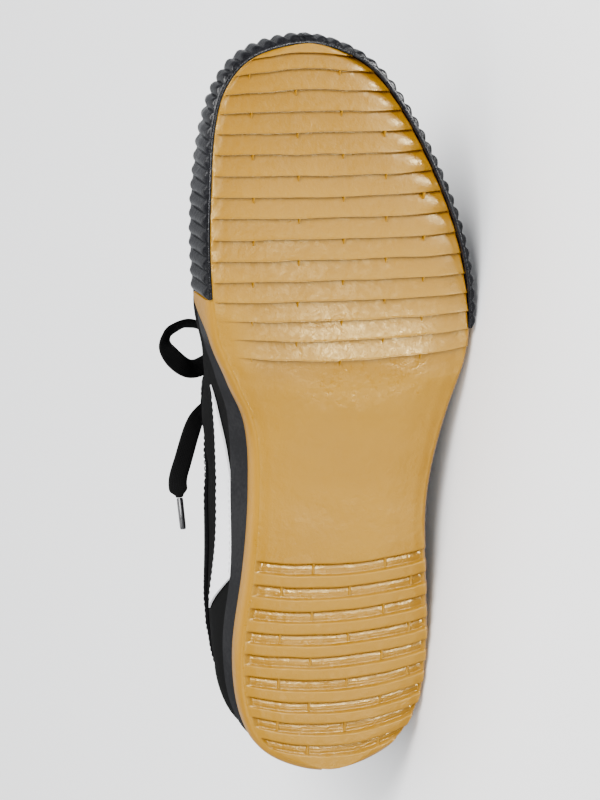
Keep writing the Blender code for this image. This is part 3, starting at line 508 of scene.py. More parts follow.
class Shape:
    """Points, faces and named values of one piece, gathered from grids of points."""

    def __init__(self):
        self.points, self.faces, self.values, self.count = [], [], {}, 0

    def grid(self, rows, around=False, closed=False, caps=False, flip=False, **values):
        """Rows of equally many points. Around joins each row's ends; closed joins the last row."""
        rows = np.asarray(rows, float)
        n, m = rows.shape[:2]
        index = np.arange(n * m).reshape(n, m) + self.count
        wide = np.concatenate([index, index[:, :1]], 1) if around else index
        wide = np.concatenate([wide, wide[:1]], 0) if closed else wide
        quads = np.stack([wide[:-1, :-1], wide[:-1, 1:], wide[1:, 1:], wide[1:, :-1]], -1)
        quads = quads.reshape(-1, 4)
        self.faces += (quads[:, ::-1] if flip else quads).tolist()
        if caps:
            ends = [index[0].tolist(), index[-1][::-1].tolist()]
            self.faces += [end[::-1] if not flip else end for end in ends]
        self.points.append(rows.reshape(-1, 3))
        for name, value in values.items():
            value = np.asarray(value, float)
            size = value.shape[-1] if value.ndim == 3 else 1
            value = np.broadcast_to(value.reshape(*value.shape[:2], size), (n, m, size))
            self.values.setdefault(name, []).append((self.count, value.reshape(-1, size)))
        self.count += n * m

    def build(self, name, look, slot, replaces=True, weld=0.0):
        mesh = bpy.data.meshes.new(f"visual_{name}")
        mesh.from_pydata(to_row(np.concatenate(self.points)).tolist(), [], self.faces)
        mesh.materials.append(look)
        for label, chunks in self.values.items():
            size = chunks[0][1].shape[1]
            filled = np.zeros((self.count, size))
            for start, value in chunks:
                filled[start:start + len(value)] = value
            kind, field = ("FLOAT", "value") if size == 1 else ("FLOAT_VECTOR", "vector")
            held = mesh.attributes.new(label, kind, "POINT")
            held.data.foreach_set(field, filled.astype(np.float32).ravel())
        shape = bmesh.new()
        shape.from_mesh(mesh)
        if weld:
            bmesh.ops.remove_doubles(shape, verts=shape.verts, dist=weld)
        bmesh.ops.recalc_face_normals(shape, faces=shape.faces)
        shape.to_mesh(mesh)
        shape.free()
        mesh.shade_smooth()
        mesh.set_sharp_from_angle(angle=SHARP_ANGLE)
        made = add_object(f"visual_{name}", mesh)
        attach(made, "root")
        if replaces:
            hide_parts(name)
        return made


def add_ringed(name, look, slot, rows, **values):
    """A piece made of rings of points, one after the other, closed at both ends."""
    shape = Shape()
    shape.grid(rows, around=True, caps=True, **values)
    return shape.build(name, look, slot)


def drift(x, seed, pitch, size):
    """Smooth seeded wander along x, of about this pitch and size."""
    x = np.asarray(x, float) / pitch
    steps = 512
    table = np.random.default_rng(seed).uniform(-1, 1, steps)
    cell = np.floor(x).astype(int)
    t = ease(x - cell, 0, 1)
    return size * (table[cell % steps] * (1 - t) + table[(cell + 1) % steps] * t)


# Camera

TARGET = np.array([0.1467, 0.0, 0.0])
SIDEWAYS, FORWARD, ROLL = (math.radians(a) for a in (20.0, 14.0, 2.0))
DISTANCE = 1.300
PICTURE = (600, 800)
TARGET_PIXEL = (345, 405)
FOCAL_PIXELS = 3458.0

# The way from the target to the camera, in the standing shoe's axes.
AWAY = np.array([
    math.sin(FORWARD), -math.sin(SIDEWAYS) * math.cos(FORWARD),
    -math.cos(SIDEWAYS) * math.cos(FORWARD),
])


def add_camera():
    up = np.array([1.0, 0.0, 0.0])
    up = unit(up - up @ AWAY * AWAY)
    right = np.cross(-AWAY, up)
    right, up = (
        math.cos(ROLL) * right + math.sin(ROLL) * up,
        math.cos(ROLL) * up - math.sin(ROLL) * right,
    )
    aim = (PICTURE[0] / 2 - TARGET_PIXEL[0]) / FOCAL_PIXELS * right - AWAY
    aim = unit(aim + (TARGET_PIXEL[1] - PICTURE[1] / 2) / FOCAL_PIXELS * up)
    right = unit(right - right @ aim * aim)
    data = bpy.data.cameras.new("camera")
    data.sensor_fit = "VERTICAL"
    data.sensor_height = 36.0
    data.lens = data.sensor_height * FOCAL_PIXELS / PICTURE[1]
    turn = Matrix([(v @ AXES).tolist() for v in (right, np.cross(right, aim), -aim)])
    place = Matrix.Translation(to_row(TARGET + DISTANCE * AWAY))
    made = add_object("camera", data)
    made.matrix_world = place @ turn.transposed().to_4x4()
    bpy.context.scene.camera = made


# Materials

class Look:
    """A material made of nodes, built from the shader outwards."""

    def __init__(self, name, sockets):
        self.made = bpy.data.materials.new(name)
        self.made.use_nodes = True
        self.tree = self.made.node_tree
        self.shader = self.tree.nodes["Principled BSDF"]
        for socket, value in sockets.items():
            self.shader.inputs[socket].default_value = value
        self.place = self.node("ShaderNodeTexCoord").outputs["Object"]
        self.height = None

    def node(self, kind, sockets=(), **settings):
        """A node with these settings and with its sockets fed in order, or by name."""
        made = self.tree.nodes.new(kind)
        for name, value in settings.items():
            setattr(made, name, value)
        fed = sockets.items() if isinstance(sockets, dict) else enumerate(sockets)
        for socket, value in fed:
            self.link(value, made.inputs[socket])
        return made

    def link(self, value, socket):
        if hasattr(value, "is_output"):
            self.tree.links.new(value, socket)
        else:
            socket.default_value = value

    def read(self, name, output="Fac"):
        return self.node("ShaderNodeAttribute", attribute_name=name).outputs[output]

    def math(self, operation, *values):
        return self.node("ShaderNodeMath", values, operation=operation).outputs[0]

    def stretch(self, *values):
        """The first value eased from the next two to the last two, 0 and 1 unless given."""
        values = (*values, 0.0, 1.0)[:5]
        return self.node("ShaderNodeMapRange", values, interpolation_type="SMOOTHSTEP").outputs[0]

    def noise(self, scale, detail=2.0, roughness=0.5, at=None, squeeze=None):
        at = self.place if at is None else at
        if squeeze:
            at = self.node("ShaderNodeMapping", {"Vector": at, "Scale": squeeze}).outputs[0]
        sockets = {"Vector": at, "Scale": scale, "Detail": detail, "Roughness": roughness}
        return self.node("ShaderNodeTexNoise", sockets).outputs[0]

    def cells(self, scale):
        sockets = {"Vector": self.place, "Scale": scale}
        return self.node("ShaderNodeTexVoronoi", sockets, feature="F1").outputs["Distance"]

    def mix(self, share, a, b):
        a, b = ((*c, 1.0) if isinstance(c, tuple) else c for c in (a, b))
        return self.node("ShaderNodeMix", {0: share, 6: a, 7: b}, data_type="RGBA").outputs[2]

    def blend(self, value, low, high, a, b):
        return self.mix(self.stretch(value, low, high), a, b)

    def paint(self, colour):
        self.link(colour, self.shader.inputs["Base Color"])

    def rough(self, value):
        self.link(value, self.shader.inputs["Roughness"])

    def bump(self, height, distance):
        """Adds a relief of this height in metres to the shading."""
        sockets = {"Strength": 1.0, "Distance": distance, "Height": height}
        if self.height is not None:
            sockets["Normal"] = self.height
        self.height = self.node("ShaderNodeBump", sockets).outputs[0]
        self.link(self.height, self.shader.inputs["Normal"])


def gum_look():
    look = Look("gum_rubber", {"Specular Tint": (1.0, 0.80, 0.38, 1.0)})
    broad, fine = look.noise(22.0, 3.0), look.noise(420.0, 3.0, 0.6)
    # Painted shade: the gum is coloured darker down in the creases and lighter on the rib tops, the
    # lighter tops partly as wear.
    shaded_deep = look.blend(broad, 0.35, 0.65, (0.256, 0.111, 0.000), (0.286, 0.127, 0.000))
    worn = look.blend(broad, 0.3, 0.7, (0.294, 0.133, 0.000), (0.322, 0.151, 0.001))
    colour = look.blend(look.read("relief"), 0.0, 1.0, shaded_deep, worn)
    # Painted shade: thin dark lines along the creases, where the steps between ribs lie in shadow.
    colour = look.mix(look.read("shade"), colour, (0.10, 0.032, 0.001))
    specks = look.stretch(look.cells(260.0), 0.10, 0.04)
    rare = look.stretch(look.noise(55.0, 1.0), 0.60, 0.68)
    share = look.math("MULTIPLY", look.math("MULTIPLY", specks, rare), 0.5)
    look.paint(look.mix(share, colour, (0.30, 0.15, 0.04)))
    grain = look.math("ADD", fine, broad)
    matte = look.stretch(grain, 0.75, 1.25, 0.36, 0.54)
    glossy = look.stretch(grain, 0.75, 1.25, 0.16, 0.34)
    sockets = {0: look.read("gloss"), 2: matte, 3: glossy}
    look.rough(look.node("ShaderNodeMix", sockets, data_type="FLOAT").outputs[0])
    look.bump(look.noise(1100.0), 0.00004)
    look.bump(look.noise(330.0, 3.0, 0.6), 0.00022)
    look.bump(look.noise(90.0), 0.00030)
    return look.made


def rubber_look(name, colour, dust, roughness, shine):
    look = Look(name, {"Specular IOR Level": shine})
    fine, broad = look.noise(700.0, 3.0, 0.6), look.noise(35.0, 3.0)
    look.paint(look.blend(look.math("ADD", broad, fine), 0.80, 1.25, colour, dust))
    look.rough(look.stretch(fine, 0.3, 0.7, roughness - 0.08, roughness + 0.10))
    look.bump(fine, 0.00013)
    return look.made


def cloth_look(name, colour, pale, pitch=0.00055, depth=0.00010):
    """Plain weave along the piece's own cloth coordinates, in metres."""
    look = Look(name, {"Roughness": 0.9, "Specular IOR Level": 0.04})
    cloth = look.read("cloth", "Vector")
    split = look.node("ShaderNodeSeparateXYZ", [cloth]).outputs
    turns = [look.math("MULTIPLY", split[k], math.pi / pitch) for k in (0, 1)]
    over = look.math("MULTIPLY", *(look.math("SINE", turn) for turn in turns))
    waves = [look.math("COSINE", turn) for turn in turns]
    warp, weft = (
        look.math("MULTIPLY", look.math(side, over, 0.0), look.math("ABSOLUTE", wave))
        for side, wave in zip(("GREATER_THAN", "LESS_THAN"), waves)
    )
    ridges = look.math("MULTIPLY", look.math("ADD", warp, weft), 0.3)
    weave = look.math("ADD", look.math("ABSOLUTE", over), ridges)
    slub = look.noise(1.0, at=cloth, squeeze=(300.0, 2500.0, 1.0))
    lint = look.stretch(look.noise(60.0, 4.0, 0.7), 0.5, 0.8)
    painted = look.mix(look.stretch(weave, 0.1, 1.1, 0.15, 0.9), colour, pale)
    painted = look.mix(look.math("MULTIPLY", lint, 0.35), painted, pale)
    look.paint(look.mix(look.stretch(slub, 0.4, 0.7, 0.0, 0.25), painted, pale))
    look.bump(weave, depth)
    look.bump(look.noise(2200.0), 0.00005)
    return look.made


def thread_look(name, dark, pale):
    look = Look(name, {"Roughness": 0.75, "Specular IOR Level": 0.25})
    look.paint(look.blend(look.noise(1500.0), 0.35, 0.7, dark, pale))
    look.bump(look.noise(2600.0, squeeze=(1.0, 0.4, 1.0)), 0.00005)
    return look.made


def metal_look():
    look = Look("eyelet_metal", {"Metallic": 0.85})
    fine = look.noise(900.0, 3.0)
    look.paint(look.blend(fine, 0.45, 0.7, (0.015, 0.015, 0.017), (0.06, 0.06, 0.065)))
    look.rough(look.stretch(look.noise(500.0, 3.0), 0.3, 0.7, 0.24, 0.42))
    look.bump(fine, 0.00003)
    return look.made


def tip_look():
    look = Look("lace_tip_film", {"Coat Weight": 0.6})
    fine = look.noise(700.0)
    look.paint(look.blend(fine, 0.4, 0.7, (0.004, 0.004, 0.005), (0.016, 0.016, 0.018)))
    look.rough(look.stretch(fine, 0.3, 0.7, 0.14, 0.26))
    look.bump(look.noise(500.0), 0.00005)
    return look.made


GUM = gum_look()
GREY_RUBBER = rubber_look("grey_rubber", (0.006, 0.006, 0.007), (0.013, 0.013, 0.014), 0.55, 0.14)
BLACK_RUBBER = rubber_look("black_rubber", (0.002, 0.002, 0.003), (0.006, 0.006, 0.008), 0.28, 0.20)
CANVAS = cloth_look("black_canvas", (0.002, 0.002, 0.002), (0.007, 0.007, 0.007))
TRIM = cloth_look("black_trim", (0.002, 0.002, 0.002), (0.009, 0.009, 0.010), pitch=0.00042)
TAPE = cloth_look("white_tape", (0.86, 0.86, 0.88), (0.97, 0.97, 0.99), pitch=0.0005,
                  depth=0.00008)
LINING = cloth_look("sock_lining", (0.42, 0.38, 0.31), (0.66, 0.62, 0.54), pitch=0.0007)
LACE = cloth_look("black_lace", (0.002, 0.002, 0.002), (0.008, 0.008, 0.008), pitch=0.0007,
                  depth=0.00016)
BLACK_THREAD = thread_look("black_thread", (0.004, 0.004, 0.004), (0.016, 0.016, 0.017))
WHITE_THREAD = thread_look("white_thread", (0.70, 0.70, 0.72), (0.92, 0.92, 0.94))
METAL = metal_look()
TIP_FILM = tip_look()


# Laces

RIBBON_SIDES = 14
TAIL_PINCH = 0.36


def route_points(table, side):
    return knot_frame()[0] + np.array(table) * (1, side, 1) / 1000


def ribbon(shape, line, wide, width, thickness):
    """Flat lace with soft edges: line is its middle, wide points across it."""
    along = unit(np.gradient(line, axis=0))
    wide = unit(wide - (wide * along).sum(1)[:, None] * along)
    angle = np.linspace(0, 2 * math.pi, RIBBON_SIDES, endpoint=False)
    across = np.sign(np.cos(angle)) * abs(np.cos(angle)) ** 0.7
    lift = np.sign(np.sin(angle)) * abs(np.sin(angle)) ** 0.75
    width = np.broadcast_to(width, len(line))[:, None, None]
    rows = line[:, None] + 0.5 * width * across[:, None] * wide[:, None]
    rows = rows + 0.5 * thickness * lift[:, None] * np.cross(along, wide)[:, None]
    cloth = cloth_grid(across * LACE_WIDTH / 2, walk(line)[:, None])
    shape.grid(rows, around=True, caps=True, cloth=cloth)


def facing(line, angles):
    """Directions across a flat lace, turned from face-on to the camera by these angles."""
    along = unit(np.gradient(line, axis=0))
    flat = unit(np.cross(along, AWAY))
    turn = np.radians(np.interp(np.linspace(0, 1, len(line)), *zip(*angles)))[:, None]
    return np.cos(turn) * flat + np.sin(turn) * np.cross(flat, along)


def add_lace(name, table, side, angles, far_end):
    line = curve_through(route_points(table, side), 8)
    share = np.linspace(0, 1, len(line))
    width = LACE_WIDTH * (1 - (1 - LACE_PINCH) * ease(1 - share / 0.14, 0, 1))
    if far_end == "object":
        width = width * (1 - (1 - LACE_PINCH) * ease((share - 0.86) / 0.14, 0, 1))
    else:
        width = width * (1 - (1 - TAIL_PINCH) * ease((share - 0.93) / 0.07, 0, 1))
    shape = Shape()
    ribbon(shape, line, facing(line, angles), width, LACE_THICKNESS)
    made = shape.build(name, LACE, "lace")
    path = to_row(line)
    tuple(path[0])
    float(walk(path)[-1])


def add_tip(word, side, table):
    end = route_points(table, side)
    ahead = unit(end[-1] - end[-2])
    across = unit(np.cross(ahead, [0, 0, 1.0]))
    angle = np.linspace(0, 2 * math.pi, 20, endpoint=False)[:, None]
    spokes = np.cos(angle) * across + np.sin(angle) * np.cross(ahead, across)
    rows = [
        end[-1] + (GAP + along * TIP_LENGTH) * ahead + size * TIP_DIAMETER / 2 * spokes
        for along, size in (
            (0.00, 0.72), (0.01, 0.94), (0.04, 1.00), (0.50, 0.98), (0.93, 0.94),
            (0.985, 0.86), (1.00, 0.66),
        )
    ]
    return add_ringed(f"lace_tip_{word}", TIP_FILM, "lace_tip", rows)


def add_knot():
    """Wrap over the crossing strands of the bow."""
    middle, ahead, normal = knot_frame()
    beside = np.cross(normal, ahead)
    shape = Shape()
    turn = np.linspace(0, 2 * math.pi, 41)[:, None]
    line = (
        middle + np.cos(turn) * (0.44 * KNOT_LENGTH * ahead + 0.10 * KNOT_DIAMETER * beside)
        + 0.36 * KNOT_DIAMETER * np.sin(turn) * normal
    )
    ribbon(shape, line, beside, 0.72 * KNOT_DIAMETER, LACE_THICKNESS)
    t = np.linspace(-1, 1, 15)[:, None]
    for low, high, rise in ((0.32, 0.10, -0.16), (-0.34, -0.12, 0.10), (0.0, 0.30, 0.12)):
        line = (
            middle + 0.52 * KNOT_DIAMETER * t * beside
            + KNOT_LENGTH * (low + (high - low) * (t + 1) / 2) * ahead
            + KNOT_DIAMETER * rise * normal
        )
        ribbon(shape, line, ahead, 0.6 * LACE_WIDTH, 1.6 * LACE_THICKNESS)
    return shape.build("lace_knot", LACE, "lace")


def add_bow():
    knot = add_knot()
    edge_on, face_on = 68.0, 4.0
    add_lace("lace_loop_inner", LOOP_INNER, INNER,
             ((0, edge_on), (0.45, edge_on), (0.62, face_on), (1, face_on)), "object")
    add_lace("lace_loop_outer", LOOP_OUTER, OUTER,
             ((0, 50.0), (0.4, 55.0), (0.6, 20.0), (1, 20.0)), "object")
    tails = (
        ("inner", INNER, TAIL_INNER, ((0, 30.0), (0.35, 55.0), (0.6, 25.0), (1, 10.0))),
        ("outer", OUTER, TAIL_OUTER, ((0, 30.0), (0.5, 30.0), (1, 10.0))),
    )
    tips = [add_tip(word, side, table) for word, side, table, _ in tails]
    for tip, (word, side, table, angles) in zip(tips, tails):
        add_lace(f"lace_end_{word}", table, side, angles, "fitting")


def add_bars():
    """Straight flat lengths across the throat that dip into their eyelets."""
    w = np.linspace(-1, 1, 49)
    width = LACE_WIDTH * (LACE_PINCH + (1 - LACE_PINCH) * ease(1 - abs(w), 0.0, 0.35))
    for k, share in enumerate(eyelet_shares()):
        line, wide = [], []
        for x in w.tolist():
            point, normal = throat_frame(share, x)
            dip = 0.0022 * ease(abs(x), 0.93, 1.0)
            line.append(point + normal * (LACE_LIFT + LACE_THICKNESS / 2 - dip))
            wide.append(throat_point(share + 0.01, x) - throat_point(share - 0.01, x))
        shape = Shape()
        ribbon(shape, np.array(line), np.array(wide), width, LACE_THICKNESS)
        shape.build(f"lace_bar_{k + 1}", LACE, "lace")


add_camera()
add_bow()
add_bars()


# Sole

BOARD_POWER = 1.4
FIN_LENGTH = 0.0023
FIN_WIDTH = 0.0009
FIN_REACH = 0.86
TREAD_BEND = 0.86
TREAD_POINTS = 57


def creases():
    """Forefoot creases as x at the middle, with the pitch heelward of each."""
    x, found = FORE_FIRST, []
    for k in range(FORE_COUNT):
        pitch = FORE_TIP_PITCH if k == 0 else FORE_PITCH
        found.append((x, pitch))
        x -= pitch
    return found


def grooves():
    found = [HEEL_FIRST - k * HEEL_PITCH for k in range(HEEL_COUNT)]
    return [x for x in found if x >= 0.5 * HEEL_PITCH]


def relief_profile():
    """Places along the middle with the relief there, 0 in a crease and 1 on a rib's top."""
    rows = []
    for k, (x, pitch) in enumerate(creases()):
        last = k == FORE_COUNT - 1
        run = pitch * (1.5 if last else 1.0)
        for t in (0.012, 0.05, 0.11, 0.19, 0.28, 0.38, 0.48, 0.58, 0.68, 0.78, 0.87, 0.93):
            rows.append((x - t * run, 0.97 * t ** BOARD_POWER + 0.01))
        if not last:
            rows += [(x - 0.955 * run, 0.97), (x - 0.975 * run, 0.95), (x - 0.985 * run, 0.80)]
            rows += [(x - 0.992 * run, 0.35), (x - 0.998 * run, 0.05)]
    rows += [(FORE_FIRST + 0.0001, 0.35), (FORE_FIRST + 0.0002, 0.85), (FORE_FIRST + 0.0004, 0.96)]
    rows += [(FORE_FIRST + 0.0015, 1.0), (LENGTH, 0.9)]
    for x in grooves():
        for part, height in (
            (-0.10, 1.0), (-0.05, 0.985), (-0.02, 0.94), (0.0, 0.84), (0.02, 0.62), (0.045, 0.34),
            (0.07, 0.06), (0.10, -0.02), (0.14, 0.03), (0.19, 0.13), (0.25, 0.22), (0.31, 0.24),
            (0.37, 0.20), (0.42, 0.16), (0.46, 0.20), (0.49, 0.45), (0.515, 0.78), (0.54, 0.93),
            (0.57, 0.985), (0.62, 1.0), (0.76, 1.02),
        ):
            rows.append((x - part * HEEL_PITCH, height))
    rows += [(x, 0.93) for x in np.linspace(0.0935, 0.150, 36)]
    rows += [(0.0885, 1.0), (0.0905, 0.97), (0.0, 1.0)]
    rows = sorted(rows)
    return np.array([row for k, row in enumerate(rows) if not k or row[0] - rows[k - 1][0] > 2e-5])


def pillow(x_mid):
    """How far a place lies from its rib's middle, squared, and 1 at the creases beside it."""
    for x, pitch in creases():
        if x - pitch <= x_mid <= x:
            return (1 - 2 * (x - x_mid) / pitch) ** 2
    return 0.0


def fins():
    """Little moulded fins in the creases. Columns: x at the middle, y, size."""
    found = []
    for k, (x, _) in enumerate(creases()):
        ys = (-0.0372, -0.0020, 0.0300) if k % 2 else (-0.0196, 0.0148, 0.0450)
        ys = ys[:2] if k < 3 else ys
        found += [(x, y, 1.0) for y in ys if k or y == 0.0148]
    for k, x in enumerate(grooves()):
        ys = (-0.0225, 0.0050, 0.0300) if k % 2 else (-0.0100, 0.0190)
        found += [(x - 0.0002, y, 1.75) for y in ys]
    return found


def wander(middle, y):
    """How far a ring strays along the shoe, so that no crease is quite straight."""
    marks = [x for x, _ in creases()] + grooves()
    k = sum(x >= middle for x in marks)
    before, after = marks[max(k - 1, 0)], marks[min(k, len(marks) - 1)]
    t = 0.0 if before == after else np.clip((before - middle) / (before - after), 0, 1)
    first, second = (drift(y + 0.1, 11 + n, 0.010, 0.00026) for n in (max(k - 1, 0), k))
    return (1 - t) * first + t * second


def tread_edges(share):
    return foot(INNER, share, -EDGE_ROLL), foot(OUTER, share, -EDGE_ROLL)


def tread_depth(middle, relief, q):
    """Depth of the tread at one ring, worn and faded towards the sides."""
    fore = ease(middle, 0.150, 0.158)
    inner_fade = ease(q, -1.0, -0.90)
    late = 1 - ease(middle, 0.176, 0.192)
    inner_fade = inner_fade * (1 - fore * late) + fore * late * ease(q, -0.92, -0.62)
    outer_fade = 1 - fore * (0.35 * ease(q, 0.90, 1.0))
    worn = 1 - (1 - relief) * inner_fade * outer_fade
    return RIB_DEPTH * (1 - worn), worn


def crown_lift(q):
    """How far the tread rises towards its sides."""
    return CROWN * (ease(abs(q), 0.5, 1.0) * 0.55 + 0.45 * ease(abs(q), 0.86, 1.0))


def sole_wall(side, share, up, edge_depth):
    """The sole's edge at one station, from the seat of the bands down to the tread."""
    back = -EDGE_ROLL
    if in_guard(side, share):
        spots = (
            (back - 0.0030, SOLE_THICKNESS), (back - 0.0002, SOLE_THICKNESS),
            (back, SOLE_THICKNESS - 0.0003), (back, 0.62 * SOLE_THICKNESS),
            (back, 0.0030 + up / 2), (back, 0.0022 + up / 2), (back + 0.0001, 0.0016 + up),
            (back + 0.0001, 0.0014 + up), (back + 0.0001, 0.0012 + up),
        )
    else:
        lip = lip_height(side, share)
        spots = (
            (-LIP_THICKNESS, SOLE_THICKNESS), (-LIP_THICKNESS, lip - 0.0002),
            (-0.75 * LIP_THICKNESS, lip), (-0.25 * LIP_THICKNESS, lip),
            (0.0, lip - 0.0003), (0.0, 0.62 * LIP_HEIGHT), (0.06 * back, 0.46 * LIP_HEIGHT),
            (0.26 * back, 0.31 * LIP_HEIGHT), (0.60 * back, 0.20 * LIP_HEIGHT),
        )
    wall = []
    for k, (out, height) in enumerate(spots):
        cut = 0.0006 * edge_depth / RIB_DEPTH * ease(k, 4, 8) if side == OUTER else 0.0
        x, y = foot(side, share, out - cut)
        wall.append((x, y, ground(x) + height))
    return wall


def add_outsole():
    profile = relief_profile()
    dense = np.linspace(0.0, 1.0, 4001)
    middle = np.maximum.accumulate(dense * LENGTH - [rib_bow(share) for share in dense])
    shares = np.interp(profile[:, 0], middle, dense)
    shares = shares[(shares > 0.0006) & (shares < 0.9996)]
    shares = sorted({*shares, *np.linspace(0.0008, 0.03, 14), *np.linspace(0.975, 0.9994, 16)})
    kept = [shares[0]]
    for share in shares[1:]:
        if share - kept[-1] > 4e-5:
            kept.append(share)
    marks = np.array([x for x, _ in creases()] + [x - 0.0004 for x in grooves()])
    bend = math.pi / 2 * TREAD_BEND
    q = np.sin(np.linspace(-1, 1, TREAD_POINTS) * bend) / math.sin(bend)
    rows, reliefs, shades, glosses = [], [], [], []
    for share in kept:
        x_mid = float(np.interp(share, dense, middle))
        depth, worn = tread_depth(x_mid, float(np.interp(x_mid, *profile.T)), q)
        inner, outer = tread_edges(share)
        heel = 1 - ease(x_mid, 0.088, 0.095)
        if x_mid > 0.15 or x_mid < 0.092:
            scallop = (0.0007 + 0.0007 * heel) * (worn[-1] - 0.5) * ease(x_mid, 0.0, 0.004)
            outer = outer + scallop * foot_base(OUTER, share)[1]
        flat = inner + (outer - inner) * (q[:, None] + 1) / 2
        flat[:, 0] += wander(x_mid, flat[:, 1]) * (1 - q**4) - rib_bow(share) * (1 - q * q)
        rolled = 0.0016 * ease(x_mid, 0.165, 0.20)
        lobe = LOBE_DEPTH * pillow(x_mid) * ease(x_mid, 0.185, 0.225)
        lift = crown_lift(q) + rolled * ease(q, 0.74, 1.0) ** 1.5 + lobe * ease(q, 0.55, 0.94)
        z = ground(flat[:, 0]) + depth + lift
        z = z + drift(flat[:, 1] + 3 * x_mid, 5, 0.017, 0.00008)
        walls = [
            sole_wall(side, share, up, edge_depth)
            for side, up, edge_depth in ((INNER, 0.0, depth[0]), (OUTER, rolled + lobe, depth[-1]))
        ]
        rows.append(walls[0] + np.column_stack([flat, z]).tolist() + walls[1][::-1])
        # line marks the creases, where the shade attribute paints thin dark lines of painted shade
        # into the gum.
        line = np.clip(1 - abs(x_mid - marks).min() / 0.0008, 0, 1)
        crown = ease(q, 0.72, 0.95) * ease(x_mid, 0.203, 0.243)
        ball = between(x_mid, 0.138, 0.150, 0.172, 0.190) * between(q, -0.7, 0.0, 0.62, 0.85)
        gloss = np.clip(np.maximum.reduce([heel * (1.25 - worn), crown, ball]), 0, 1)
        # relief also sets the gum's colour: darker in the creases as painted shade, lighter on the
        # rib tops.
        for found, values, beside in (
            (reliefs, worn, 0.55),
            (shades, line * np.clip(1 - worn, 0, 1) ** 0.5, 0.0),
            (glosses, np.maximum(gloss, 0.6 * (1 - ease(q, -1.0, -0.93))), 0.4),
        ):
            found.append(np.pad(values, len(walls[0]), constant_values=beside))
    shape = Shape()
    shape.grid(rows, around=True, caps=True, relief=reliefs, shade=shades, gloss=glosses)
    add_fins(shape, dense, middle)
    shape.build("outsole", GUM, "gum_rubber")


def add_fins(shape, dense, middle):
    root = RIB_DEPTH + 0.0003
    values = np.full((8, 7), 0.7)
    for x_mid, y, size in fins():
        share = float(np.interp(x_mid, middle, dense))
        inner, outer = tread_edges(share)
        q = 2 * (y - inner[1]) / (outer[1] - inner[1]) - 1
        if abs(q) > FIN_REACH:
            continue
        x = (inner + (outer - inner) * (q + 1) / 2)[0] - rib_bow(share) * (1 - q * q)
        rows = []
        for t in np.linspace(0, 1, 8):
            at = x + 0.0004 - t * (FIN_LENGTH * size)
            top = 0.06 * RIB_DEPTH + RIB_DEPTH * (0.40 if size > 1 else 0.62 * t ** 2)
            half = 0.5 * FIN_WIDTH * (1.35 if size > 1 else 1.0 - 0.35 * t)
            low = ground(at) + crown_lift(q) + root
            rows.append([
                (at, y + half * math.cos(a), low - (root - top) * math.sin(a) ** 0.6)
                for a in np.linspace(0, math.pi, 7)
            ])
        shape.grid(rows, around=True, caps=True, relief=values, shade=0 * values, gloss=values)


def foxing_section(side, share):
    """Ring of points round the ribbed band, which is plain where the gum lip covers it."""
    face, ridges, per = -(LIP_THICKNESS + GAP), 11, 4
    low, top = LIP_HEIGHT - 0.0004, band_height(side, share)
    bare = 1 - ease(share, *COVER_SPAN) if side == INNER else 1.0
    spots = [(face, RIM_HEIGHT)]
    for k in range(ridges * per + 1):
        wave = 0.5 - 0.5 * math.cos(2 * math.pi * k / per)
        height = low + (top - 0.0012 - low) * k / (ridges * per)
        spots.append((face + 0.00050 * wave * bare + 0.0001, height))
    spots += [(face - 0.0001, top - 0.0006), (face - 0.0006, top - 0.0001)]
    spots += [(face - FOXING_THICKNESS, top), (face - FOXING_THICKNESS, RIM_HEIGHT)]
    return [flared(side, share, out, height) for out, height in spots]


def add_foxing():
    inner, outer = (
        [foxing_section(side, float(share)) for share in even_shares(190, end - BAND_END_GAP)]
        for side, end in ((INNER, GUARD_INNER_END), (OUTER, GUARD_OUTER_END))
    )
    add_ringed("foxing", GREY_RUBBER, "grey_rubber", inner[:0:-1] + outer)


def add_guard():
    per = 10
    dense = [(INNER, s) for s in np.linspace(GUARD_INNER_END + BAND_END_GAP, 1, 1600)]
    dense += [(OUTER, s) for s in np.linspace(1, GUARD_OUTER_END + BAND_END_GAP, 1600)[1:]]
    walked = walk(np.array([foot(side, share) for side, share in dense]))
    flutes = max(round(walked[-1] / FLUTE_PITCH), 8)
    back, over, low = -EDGE_ROLL + GAP, UPPER_OUT + SKIN_GAP, 0.0012
    valley = back + GUARD_BASE
    rows = []
    for k in range(flutes * per + 1):
        side, share = dense[int(np.argmin(abs(walked - walked[-1] * k / (flutes * per))))]
        crest = abs(math.sin(math.pi * k / per)) ** 0.8
        tall = GUARD_HEIGHT + 0.0003 * crest
        spots = [(back, low - 0.0002), (back + 0.0006, low - 0.0005),
                 (valley - 0.0005, low - 0.0005), (valley - 0.0001, low - 0.0003)]
        for t in (0.0, 0.006, 0.018, 0.036, 0.06, 0.09, *np.linspace(0.16, 1, 12)):
            height = low - 0.0002 + (tall - low - 0.0008) * t
            swell = math.sqrt(1 - (1 - min(t / 0.09, 1.0)) ** 2) * (1 - ease(t, 0.86, 1.0))
            spots.append((valley + FLUTE_DEPTH * crest * swell, height))
        spots += [(valley - 0.0006, tall - 0.0002), (over, tall - 0.0004), (over, LIP_HEIGHT),
                  (over, RIM_HEIGHT), (back, RIM_HEIGHT)]
        rows.append([flared(side, share, out, height) for out, height in spots])
    add_ringed("toe_guard", BLACK_RUBBER, "black_rubber", rows)


# Upper

# Soft troughs of the canvas. Columns: share of LENGTH, its spread, lean, depth in mm.
FOLDS = (
    (0.640, 0.010, 0.04, 0.7), (0.672, 0.009, 0.03, 0.9), (0.706, 0.011, -0.02, 0.8),
    (0.745, 0.010, -0.03, 0.5), (0.395, 0.012, -0.05, 0.6), (0.430, 0.010, -0.06, 0.5),
    (0.115, 0.012, 0.02, 0.4), (0.160, 0.012, 0.02, 0.3),
)


